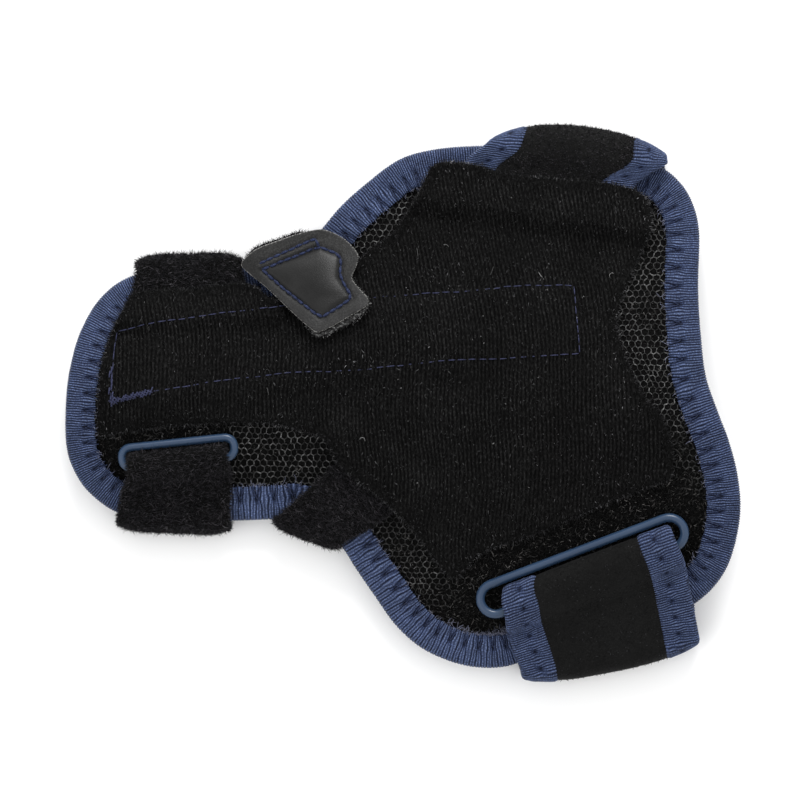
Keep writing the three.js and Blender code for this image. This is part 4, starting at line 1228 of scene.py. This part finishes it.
def lint(material):
    """Pale specks and short curled fibres caught on the loop cloth."""
    draw = np.random.default_rng(SEEDS["lint"])
    x, y = scatter_inside(inset(smooth_outline(PANEL_OUTLINE, 2.0), 2), COUNTS["lint"], draw)
    count = len(x)
    share = np.linspace(0, 1, 6)
    turn = draw.uniform(0, math.tau, count)
    bend = draw.normal(0, 1.5, count)
    curls = draw.random(count) < 0.035
    length = draw.uniform(0.15, 0.5, count) * np.where(curls, 6.0, 1)
    angle = turn[:, None] + bend[:, None] * share
    step = length[:, None] / 5
    px = x[:, None] + np.cumsum(np.cos(angle) * step, axis=1)
    py = y[:, None] + np.cumsum(np.sin(angle) * step, axis=1)
    pz = panel_surface(px, py) - seam_groove(px, py) + 0.25 + 0.2 * np.sin(share * 3)[None, :]
    paths = np.stack([px, py, pz], axis=2)
    radii = np.full(paths.shape[:2], 0.045) * draw.uniform(0.7, 1.7, (count, 1))
    points, faces = tube_field(paths, radii, 4)
    tone = np.repeat(draw.random(count) ** 2.0 * 0.8 + np.where(curls, 0.2, 0), 24)
    piece = make_piece("panel_lint", points, faces, material, attributes={"tone": tone})


# Straps. A strap's section is a function from shares of its width to points of its middle surface.

def strap_row(section, over):
    left = place(section[0], section[1])
    right = place(section[2], section[3])

    def row(share):
        plan = left + (right - left) * share[:, None]
        return np.column_stack([plan, surface_height(plan[:, 0], plan[:, 1]) + over])

    return row


def strap_run(first, over_first, last, over_last):
    rows = []
    for step in range(1, RUN_STEPS):
        share = step / RUN_STEPS
        section = [mix(a, b, share) for a, b in zip(first, last)]
        rows.append(strap_row(section, mix(over_first, over_last, share)))
    return rows


def floor_row(row, thickness):
    def laid(share):
        points = row(share)
        points[:, 2] = thickness / 2
        return points

    return laid


def fold_rows(front, back, reach, side, arch=0.0, lean=0.0):
    """Half turn of a strap over the body's edge; it reaches less at the strap's long edges."""
    ends = front(np.array([0.0, 1.0]))
    width = ends[1, :2] - ends[0, :2]
    width /= np.linalg.norm(width)
    outward = np.array([-width[1], width[0], 0]) * side
    rightward = np.array([width[0], width[1], 0])

    def fold(angle):
        height = (1 + math.sin(angle)) / 2

        def row(share):
            from_middle = np.abs(2 * share - 1)
            out = reach - arch * from_middle**2 - FOLD_CORNER * from_middle**6
            push = outward * (out * math.cos(angle))[:, None]
            push = push + rightward * (lean * (1 - share) ** 2 * math.cos(angle))[:, None]
            return mix(back(share), front(share), height) + push

        return row

    return [fold(math.pi * (0.5 - step / FOLD_STEPS)) for step in range(1, FOLD_STEPS)]


def ring_frame(ring, spot, thickness):
    slant = math.radians(spot["degrees"])
    along_bar = np.array([math.cos(slant), math.sin(slant)])
    across_bars = np.array([-along_bar[1], along_bar[0]])
    middle = place(spot["along"], spot["across"])
    over_held = BODY_TOP + thickness + 2 * CLEARANCE + 2 * FACET_PLAY + ring["bar"] / 2
    over_free = BODY_TOP + CLEARANCE + FACET_PLAY + ring["bar"] / 2

    def lifted(plan, over):
        return np.array([*plan, surface_height(plan[0], plan[1]) + over])

    held_middle = middle - across_bars * ring["spacing"] / 2
    free_middle = middle + across_bars * ring["spacing"] / 2
    left = lifted(held_middle - along_bar * ring["length"] / 2, over_held)
    right = lifted(held_middle + along_bar * ring["length"] / 2, over_held)
    held = (left + right) / 2
    along = (right - left) / np.linalg.norm(right - left)
    across = lifted(free_middle, over_free) - held
    across -= along * across.dot(along)
    across /= np.linalg.norm(across)
    return {"held": held, "along": along, "across": across}


def fold_spread(spread, height):
    """Spread of a strap's fold round the bar, from over the bar at height 1 to none under it at -1."""
    if height > 0:
        return [mix(fold, over, height) for fold, over in zip(spread["fold"], spread["over"])]
    return [fold * (1 + height) for fold in spread["fold"]]


def wrap_rows(ring, where, edge_row, thickness, spread):
    """End of a strap round the held bar; beside the ring it bulges by a spread to its left and right."""
    half_width = (ring["length"] - ring["bar"]) / 2 - ring["corner"] - RING_END_PLAY
    away = edge_row(np.array([0.5]))[0] - where["held"]
    away -= where["along"] * away.dot(where["along"])
    away /= np.linalg.norm(away)
    up = np.cross(away, where["along"])
    over = ring["bar"] / 2 + CLEARANCE + thickness / 2
    reach = ring["reach"] - thickness / 2
    join = over * JOIN_START
    profile = [(join, 0, spread["run"]), (join / 2, over * JOIN_HEIGHT, spread["join"])]
    for step in range(FOLD_STEPS + 1):
        angle = math.pi * (0.5 - step / FOLD_STEPS)
        up_share = math.sin(angle)
        profile.append((-reach * math.cos(angle), over * up_share, fold_spread(spread, up_share)))
    profile.append((RETURN_LENGTH, -over, [0, 0]))

    def wrapped(back, height, bulge):
        start = where["held"] + away * back + up * height

        def row(share):
            side = (2 * share - 1) * half_width + ring["slide"]
            side = side + share * bulge[1] - (1 - share) * bulge[0]
            return start + where["along"] * side[:, None]

        return row

    return [wrapped(*values) for values in profile]


def thumb_strap_rows(where):
    top = strap_row(THUMB_SECTIONS["top_edge"], ON_BINDING)
    bottom = strap_row(THUMB_SECTIONS["bottom_edge"], ON_BINDING)
    top_back = floor_row(top, STRAP_THICKNESS)
    bottom_back = floor_row(bottom, STRAP_THICKNESS)
    return [
        strap_row(THUMB_SECTIONS["root"], ON_BINDING),
        top, *fold_rows(top, top_back, THUMB_FOLD_TOP, 1), top_back,
        bottom_back, *fold_rows(bottom, bottom_back, THUMB_FOLD_BOTTOM, -1)[::-1], bottom,
        *wrap_rows(THUMB_RING, where, bottom, STRAP_THICKNESS, THUMB_SPREAD),
    ]


def cross_strap_rows():
    bottom = strap_row(CROSS_SECTIONS["bottom_edge"], ON_BINDING)
    top = strap_row(CROSS_SECTIONS["top_edge"], ON_PANEL)
    bottom_back = floor_row(bottom, STRAP_THICKNESS)
    top_back = floor_row(top, STRAP_THICKNESS)
    end_height = ON_PANEL + POCKET_HEIGHT / 2
    return [
        strap_row(CROSS_SECTIONS["root"], ON_BODY),
        strap_row(CROSS_SECTIONS["leaving"], ON_BODY),
        strap_row(CROSS_SECTIONS["on_binding"], ON_BINDING),
        *strap_run(CROSS_SECTIONS["on_binding"], ON_BINDING, CROSS_SECTIONS["bottom_edge"], ON_BINDING),
        bottom, *fold_rows(bottom, bottom_back, CROSS_FOLD_BOTTOM, -1), bottom_back,
        top_back, *fold_rows(top, top_back, CROSS_FOLD_TOP, 1)[::-1], top,
        *strap_run(CROSS_SECTIONS["top_edge"], ON_PANEL, CROSS_SECTIONS["under_tab"], ON_PANEL),
        strap_row(CROSS_SECTIONS["under_tab"], ON_PANEL),
        *strap_run(CROSS_SECTIONS["under_tab"], ON_PANEL, CROSS_SECTIONS["end"], end_height),
        strap_row(CROSS_SECTIONS["end"], end_height),
    ]


def wrist_strap_rows(where):
    top = strap_row(WRIST_SECTIONS["top_edge"], WIDE_ON_BINDING + WRIST_FOLD_LIFT)
    bottom = strap_row(WRIST_SECTIONS["bottom_edge"], WIDE_ON_BINDING)
    top_back = floor_row(top, WRIST_STRAP_THICKNESS)
    bottom_back = floor_row(bottom, WRIST_STRAP_THICKNESS)
    return [
        strap_row(WRIST_SECTIONS["root"], WIDE_ON_BINDING),
        strap_row(WRIST_SECTIONS["leaving"], WIDE_ON_BINDING),
        top, *fold_rows(top, top_back, WRIST_FOLD_TOP, 1, WRIST_FOLD_ARCH, WRIST_FOLD_LEAN), top_back,
        bottom_back, *fold_rows(bottom, bottom_back, WRIST_FOLD_BOTTOM, -1, WRIST_BOTTOM_ARCH)[::-1], bottom,
        *wrap_rows(WRIST_RING, where, bottom, WRIST_STRAP_THICKNESS, WRIST_SPREAD),
    ]


def dense_strap(rows, thickness, start, end, spacing, columns):
    """Middle surface of a strap between two shares of its width, its outward and sideways directions."""
    share = np.linspace(start, end, columns)
    grid = np.array([row(share) for row in rows])
    grid, run = even(spline(grid, False, 12), spacing, False)
    grid[..., 2] = np.maximum(grid[..., 2], thickness / 2)
    ahead = np.gradient(grid, axis=0)
    width = np.gradient(grid, axis=1)
    outward = np.cross(width, ahead)
    outward = unit(outward)
    if outward[0, :, 2].mean() < 0:
        outward = -outward
    sideways = unit(width)
    return grid, outward, sideways, run


def strap_skin(grid, outward, sideways, half):
    """Closed skin round a strap's middle surface; half is its half thickness at each point."""
    rounding = np.linspace(math.pi / 2, -math.pi / 2, 6)[1:-1]
    top = grid + outward * half[..., None]
    under = grid - outward * half[..., None]
    right = [
        grid[:, -1] + outward[:, -1] * (half[:, -1] * math.sin(a))[:, None]
        + sideways[:, -1] * (half[:, -1] * math.cos(a))[:, None] for a in rounding
    ]
    left = [
        grid[:, 0] + outward[:, 0] * (half[:, 0] * math.sin(a))[:, None]
        - sideways[:, 0] * (half[:, 0] * math.cos(a))[:, None] for a in rounding[::-1]
    ]
    section = np.concatenate([top, np.stack(right, axis=1), under[:, ::-1], np.stack(left, axis=1)], axis=1)
    return section.reshape(-1, 3), section.shape[1]


def fleece_strap(name, node, rows, width, material, seed):
    """Soft fuzzy strap with an uneven, lumpy face."""
    inset_share = STRAP_THICKNESS / 2 / width
    shape = dense_strap(rows, STRAP_THICKNESS, inset_share, 1 - inset_share, 1.0, 20)
    grid, outward, sideways, run = shape
    half = np.full(grid.shape[:2], STRAP_THICKNESS / 2 - 0.12)
    along = run[:, None] + 0 * half
    across = np.linspace(0, width, grid.shape[1])[None, :] + 0 * half
    half += 0.11 * soft_noise(across, along, 7, seed) + 0.08 * soft_noise(across * 0.5, along, 2.6, seed + 1)
    points, around = strap_skin(grid, outward, sideways, half)
    points[:, 2] = np.maximum(points[:, 2], 0.0)
    piece = make_piece(name, points, loft_faces(len(grid), around, False), material)
    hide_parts(node)
    return shape, half


def strap_pile(name, shape, half, count, material, slot, seed, length, lowest, stand, part):
    """Brushed pile across a strap's outer side and on its long edges, above a lowest height."""
    grid, outward, sideways, _ = shape
    draw = np.random.default_rng(seed)
    last = int((len(grid) - 1) * part)
    i = draw.integers(0, last, count)
    j = draw.integers(0, grid.shape[1] - 1, count)
    keep = grid[i, j, 2] > lowest
    i = i[keep]
    j = j[keep]
    jitter = draw.random((2, len(i), 1))
    base = grid[i, j] + (grid[i + 1, j] - grid[i, j]) * jitter[0] + (grid[i, j + 1] - grid[i, j]) * jitter[1]
    roots = base + outward[i, j] * (half[i, j] - 0.1)[:, None]
    ahead = np.cross(sideways[i, j], outward[i, j])
    leans = outward[i, j] * draw.uniform(*stand, (len(i), 1))
    leans += sideways[i, j] * draw.normal(0, 1.1, (len(i), 1)) + ahead * draw.normal(0.1, 0.3, (len(i), 1))
    edge_count = count // 5
    side = draw.integers(0, 2, edge_count)
    k = draw.integers(0, last, edge_count)
    column = np.where(side == 1, grid.shape[1] - 1, 0)
    sign = np.where(side == 1, 1.0, -1.0)[:, None]
    angle = draw.uniform(-1.3, 1.3, (edge_count, 1))
    way = sideways[k, column] * sign * np.cos(angle) + outward[k, column] * np.sin(angle)
    edge_roots = grid[k, column] + way * (half[k, column] - 0.08)[:, None] + draw.normal(0, 0.2, way.shape)
    edge_keep = edge_roots[:, 2] > lowest
    roots = np.concatenate([roots, edge_roots[edge_keep]])
    leans = np.concatenate([leans, (way + draw.normal(0, 0.5, way.shape))[edge_keep]])
    leans = unit(leans)
    lengths = draw.uniform(0.4, 1.0, len(roots)) * length
    lengths[len(i) :] = np.minimum(lengths[len(i) :], 1.1)
    points, faces = fibre_field(roots, leans, lengths, FIBRE_WIDTHS["strap"], draw, 0.25)
    points[:, 2] = np.maximum(points[:, 2], 0.02)
    clump = 0.8 + 0.2 * soft_noise(roots[:, 0], roots[:, 1], 4, seed + 1)
    tone = np.repeat(draw.random(len(roots)) ** 1.5 * clump, 5)
    piece = make_piece(name, points, faces, material, attributes={"tone": tone})


def wrist_core(rows, material):
    """Smooth padded core of the wide strap."""
    shape = dense_strap(rows, WRIST_STRAP_THICKNESS, CORE_EDGE, 1 - CORE_EDGE, 1.2, 24)
    grid, outward, sideways, run = shape
    half = np.full(grid.shape[:2], WRIST_STRAP_THICKNESS / 2 - 0.2)
    share = np.linspace(-1, 1, grid.shape[1])[None, :]
    half += 0.28 * (1 - share**6)
    along = run[:, None] + 0 * half
    across = share * 16 + 0 * half
    half += 0.07 * soft_noise(across, along, 16, 81) + 0.05 * soft_noise(across * 0.4, along, 5, 82)
    points, around = strap_skin(grid, outward, sideways, half)
    points[:, 2] = np.maximum(points[:, 2], 0.0)
    piece = make_piece("wrist_strap_cloth", points, loft_faces(len(grid), around, False), material)
    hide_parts("wrist_strap")
    return shape, half


def wrist_binding(name, node, rows, start, end, material, seed):
    """Ribbed elastic along one long edge of the wide strap."""
    rounding = WRIST_STRAP_THICKNESS / 2 / WRIST_HELD_WIDTH
    shape = dense_strap(rows, WRIST_STRAP_THICKNESS, start + rounding, end - rounding,
                        ELASTIC_PITCH / ROWS_PER_RIB, 10)
    grid, outward, sideways, run = shape
    columns = grid.shape[1]
    share = np.linspace(-1, 1, columns)[None, :]
    side = np.linspace(start, end, columns)[None, :] * WRIST_HELD_WIDTH
    inner = share if start == 0 else -share
    stitch = run / ZIGZAG_PITCH
    deep = (inner - 0.1) * WRIST_STRAP_BINDING / 2
    pinch, needle = stitch_marks(from_nearest_stitch(stitch), deep, 1.6)
    waver = 0.12 * soft_noise(run[:, None], side * 1.3, 6, seed)
    drift = 0.4 * soft_noise(run, run * 0, 19, seed + 2)[:, None]
    rib = rib_rise((run[:, None] + pinch + waver + drift) / ELASTIC_PITCH, 0.3)
    half = WRIST_STRAP_THICKNESS / 2 + 0.14 + (rib - RIB_LEVEL) * ELASTIC_HEIGHT - 0.42 * needle
    half = half + 0.06 * soft_noise(run[:, None], side * 4, 15, seed + 1)
    points, around = strap_skin(grid, outward, sideways, half)
    points[:, 2] = np.maximum(points[:, 2], 0.0)
    # This rise also sets the colour: painted shade darkens the rib valleys and the needle dimples.
    section_rise = np.clip(rib - 0.85 * needle, 0, 1)
    edge_rise = np.broadcast_to(rib[:, -1:], (len(grid), (around - 2 * columns) // 2))
    rise = np.concatenate([section_rise, edge_rise, section_rise[:, ::-1], edge_rise], axis=1)
    edge_side = np.broadcast_to(side[:, -1:] + 1, edge_rise.shape)
    side = np.broadcast_to(side, grid.shape[:2])
    sides = np.concatenate([side, edge_side, -side[:, ::-1], edge_side - 12], axis=1)
    attributes = {
        "rise": rise.ravel(),
        "run": np.broadcast_to(run[:, None], rise.shape).ravel(),
        "side": sides.ravel(),
    }
    piece = make_piece(name, points, loft_faces(len(grid), around, False), material, attributes=attributes)
    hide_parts(node)


# Rings

def ring_piece(name, node, body, ring, corner, where, material):
    """Oblong ring of round bar."""
    half_length = (ring["length"] - ring["bar"]) / 2 - corner
    half_height = max(ring["spacing"] / 2 - corner, 0)
    route = []
    for side_x, side_y, start in ((1, 1, 0), (-1, 1, 90), (-1, -1, 180), (1, -1, 270)):
        for step in range(RING_CORNER_STEPS + 1):
            angle = math.radians(start + 90 * step / RING_CORNER_STEPS)
            out = np.array([math.cos(angle), math.sin(angle)])
            route.append(np.array([side_x * half_length, side_y * half_height]) + corner * out)
    route = np.array(route)
    keep = np.linalg.norm(route - np.roll(route, 1, axis=0), axis=1) > 0.01
    route = even(route[keep], RING_SEGMENT, True)[0]
    ahead = np.roll(route, -1, axis=0) - np.roll(route, 1, axis=0)
    ahead = unit(ahead)
    out = np.stack([ahead[:, 1], -ahead[:, 0]], axis=1)
    centre = where["held"] + where["across"] * ring["spacing"] / 2
    up = np.cross(where["along"], where["across"])
    middle = centre + route[:, :1] * where["along"] + route[:, 1:] * where["across"]
    outward = out[:, :1] * where["along"] + out[:, 1:] * where["across"]
    turn = np.arange(RING_SIDES) * math.tau / RING_SIDES
    radius = ring["bar"] / 2 - RING_PLAY
    section = (
        middle[:, None, :]
        + outward[:, None, :] * (radius * np.cos(turn))[None, :, None]
        + up[None, None, :] * (radius * np.sin(turn))[None, :, None]
    )
    faces = loft_faces(len(route), RING_SIDES, True)
    piece = make_piece(name, section.reshape(-1, 3), faces, material, body=body)
    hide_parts(node)


# Pull tab and hook pad

def tab_base(x, y):
    over_strap = ON_PANEL + STRAP_THICKNESS / 2 + CLEARANCE + 2 * FACET_PLAY
    return surface_height(x, y) + over_strap + pocket_rise(x, y)


def cushion(outline, step, rounds):
    """Height of a cushion held along its outline, from 0 to 1, as a function of x and y."""
    low = outline.min(axis=0) - 2 * step
    high = outline.max(axis=0) + 2 * step
    x, y = np.meshgrid(np.arange(low[0], high[0], step), np.arange(low[1], high[1], step), indexing="ij")
    inside = is_inside(x, y, outline)
    height = np.zeros(x.shape)
    for _ in range(rounds):
        beside = sum(np.roll(height, way, axis) for axis in (0, 1) for way in (1, -1))
        height = np.where(inside, beside / 4 + 1, 0)
    height = (height / height.max()) ** 0.8

    def at(px, py):
        i = np.clip((px - low[0]) / step, 0, x.shape[0] - 1.001)
        j = np.clip((py - low[1]) / step, 0, x.shape[1] - 1.001)
        a = i.astype(int)
        b = j.astype(int)
        first = mix(height[a, b], height[a + 1, b], i - a)
        second = mix(height[a, b + 1], height[a + 1, b + 1], i - a)
        return mix(first, second, j - b)

    return at


TAB_CUSHION = cushion(TAB_SEAM_LINE, 0.35, 900)


def tab_top(x, y):
    """Top of the leather: a flat border, and a padded middle inside the stitched seam."""
    distance = outline_distance(x, y, TAB_SEAM_LINE)
    upper = placed(TAB_TOP_SEAM[:2])
    from_upper = outline_distance(x, y, upper)
    ridge = np.array([(place(*TAB_SEAM[k]) + upper[k]) / 2 for k in range(2)])
    groove = 0.5 * np.exp(-((distance / 0.75) ** 2)) + 0.45 * np.exp(-((from_upper / 0.6) ** 2))
    groove = groove - TAB_RIDGE * np.exp(-((outline_distance(x, y, ridge) / 0.7) ** 2))
    smooth = tab_base(x, y) + TAB_THICKNESS + TAB_DOME * TAB_CUSHION(x, y)
    return smooth - groove + 0.08 * soft_noise(x, y, 11, 91)


def tab_piece(material):
    outline = smooth_outline(TAB_OUTLINE, 0.45)
    plan, faces = sheet_points(outline, [0.1, 0.25, 0.55], 0.4, 0.4, 0.8)
    x, y = plan.T
    distance = outline_distance(x, y, outline)
    high = tab_top(x, y) - edge_rounding(distance, 0.35)
    low = tab_base(x, y) + edge_rounding(distance, 0.3)
    points, faces = closed_sheet(plan, faces, np.minimum(low, high - 0.3), high)
    edge = np.concatenate([np.clip(1 - distance / 0.24, 0, 1)] * 2)
    middle = is_inside(x, y, TAB_SEAM_LINE)
    attributes = {"edge": edge, "middle": np.concatenate([middle, middle])}
    piece = make_piece("pull_tab_leather", points, faces, material, attributes=attributes)
    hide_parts("pull_tab")


def tab_stitches(material):
    draw = np.random.default_rng(SEEDS["tab"])
    upper = placed(TAB_TOP_SEAM)

    def height(x, y):
        return tab_top(x, y) + 0.12

    seam = np.concatenate([TAB_SEAM_LINE, TAB_SEAM_LINE[:1]])
    main, main_radii = stitch_run(seam, height, 2.3, 2.2, 0.42, draw)
    second, second_radii = stitch_run(even(upper, 0.3, False)[0], height, 2.3, 2.2, 0.40, draw)
    points, faces = tube_field(
        np.concatenate([main, second]), np.concatenate([main_radii, second_radii]), 6
    )
    piece = make_piece("tab_stitches", points, faces, material)


def hook_surface(x, y):
    over = PANEL_TOP + CLEARANCE + FACET_PLAY + HOOK_THICKNESS - 0.5
    return surface_height(x, y) + over + pocket_rise(x, y)


def hook_piece(material):
    outline = smooth_outline(HOOK_OUTLINE, 0.6)
    plan, faces = sheet_points(outline, [0.25], 0.9, 0.9, 0.7)
    x, y = plan.T
    distance = outline_distance(x, y, outline)
    high = hook_surface(x, y) - edge_rounding(distance, 0.3)
    low = surface_height(x, y) + PANEL_TOP + CLEARANCE + FACET_PLAY + pocket_rise(x, y)
    points, faces = closed_sheet(plan, faces, low, high)
    piece = make_piece("tab_hook_backing", points, faces, material)
    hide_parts("tab_hook_pad")


def hook_field(material):
    """Small bent hooks along the pad's edge, where they show beyond the leather."""
    outline = smooth_outline(HOOK_OUTLINE, 0.35)
    inward = inward_directions(outline)
    draw = np.random.default_rng(SEEDS["hooks"])
    paths = []
    for depth in (0.05, 0.5, 0.95):
        base = outline + inward * depth + draw.normal(0, 0.08, outline.shape)
        tall = draw.uniform(0.3, 0.5, len(base))
        out = -inward + draw.normal(0, 0.5, inward.shape)
        share = np.array([0.0, 0.5, 0.9, 1.0])
        push = np.array([0.0, 0.05, 0.25, 0.45])
        plan = base[:, None, :] + out[:, None, :] * push[None, :, None]
        top = hook_surface(base[:, 0], base[:, 1]) - 0.35
        z = top[:, None] + tall[:, None] * share[None, :]
        paths.append(np.concatenate([plan, z[..., None]], axis=2))
    paths = np.concatenate(paths)
    points, faces = tube_field(paths, np.full(paths.shape[:2], 0.09), 4)
    piece = make_piece("tab_hooks", points, faces, material)


# Stage

def build_camera():
    data = bpy.data.cameras.new("camera")
    data.sensor_width = SENSOR_WIDTH
    data.lens = SENSOR_WIDTH * (CAMERA_HEIGHT - FRAME_LEVEL) / (FRAME_WIDTH * MM)
    data.clip_end = 10
    camera = bpy.data.objects.new("camera", data)
    camera.location = (CAMERA_MIDDLE[0] * MM, CAMERA_MIDDLE[1] * MM, CAMERA_HEIGHT)
    bpy.context.scene.collection.objects.link(camera)
    bpy.context.scene.camera = camera


def area_light(name, location, size, power):
    data = bpy.data.lights.new(name, "AREA")
    data.size = size
    data.energy = power
    light = bpy.data.objects.new(name, data)
    light.location = location
    light.rotation_euler = Vector(location).to_track_quat("Z", "Y").to_euler()
    bpy.context.scene.collection.objects.link(light)


def build_stage():
    corners = [(x * FLOOR_HALF, y * FLOOR_HALF, 0) for x, y in ((-1, -1), (1, -1), (1, 1), (-1, 1))]
    mesh = bpy.data.meshes.new("floor")
    mesh.from_pydata(corners, [], [(0, 1, 2, 3)])
    mesh.materials.append(floor_material())
    floor = bpy.data.objects.new("floor", mesh)
    floor.location.z = -FLOOR_DROP
    bpy.context.scene.collection.objects.link(floor)
    world = bpy.data.worlds.new("studio")
    world.use_nodes = True
    world.node_tree.nodes["Background"].inputs["Color"].default_value = (1, 1, 1, 1)
    world.node_tree.nodes["Background"].inputs["Strength"].default_value = WORLD_STRENGTH
    bpy.context.scene.world = world
    for name, (location, size, power) in LIGHTS.items():
        area_light(name, location, size, power)
    bpy.context.scene.view_settings.view_transform = "Standard"


build_camera()
build_stage()

elastic = elastic_material()
fleece = fleece_material("fleece_strap", 0.0035, 0.006)
fibres = {name: fibre_material(name, stops) for name, stops in FIBRE_TONES.items()}
threads = {name: thread_material(name, dark, light) for name, (dark, light) in THREAD_TONES.items()}
hooks = hook_material()
plastic = ring_material()

thumb_place = ring_frame(THUMB_RING, THUMB_RING_PLACE, STRAP_THICKNESS)
wrist_place = ring_frame(WRIST_RING, WRIST_RING_PLACE, WRIST_STRAP_THICKNESS)
wrist_rows = wrist_strap_rows(wrist_place)

body_piece(foam_material())
net_piece(net_material())
net_fuzz(fibres["net_fuzz"])
binding_piece(elastic)
binding_stitches(threads["navy_thread"])
frayed_threads(threads["pale_thread"])
panel_piece(loop_material())
panel_pile(fibres["loop_pile"])
pocket_stitches(threads["seam_thread"])
lint(fibres["lint_fibre"])

straps = {
    "thumb": fleece_strap("thumb_strap_cloth", "thumb_strap", thumb_strap_rows(thumb_place),
                          THUMB_STRAP_WIDTH, fleece, 101),
    "cross": fleece_strap("cross_strap_cloth", "cross_strap", cross_strap_rows(),
                          CROSS_STRAP_WIDTH, fleece, 103),
    "wrist": wrist_core(wrist_rows, smooth_strap_material()),
}
for name, strap, draws, material, slot, *rest in STRAP_FIBRES:
    strap_pile(name, *straps[strap], draws, fibres[material], slot, *rest)
wrist_binding("wrist_binding_left", "wrist_strap_binding_left", wrist_rows,
              0, BOUND_SHARE, elastic, 121)
wrist_binding("wrist_binding_right", "wrist_strap_binding_right", wrist_rows,
              1 - BOUND_SHARE, 1, elastic, 131)

ring_piece("thumb_ring_bar", "thumb_ring", "thumb_loop", THUMB_RING, RING_END_RADIUS["thumb"],
           thumb_place, plastic)
ring_piece("wrist_ring_bar", "wrist_ring", "wrist_loop", WRIST_RING, RING_END_RADIUS["wrist"],
           wrist_place, plastic)

tab_piece(leather_material())
tab_stitches(threads["tab_thread"])
hook_piece(hooks)
hook_field(hooks)
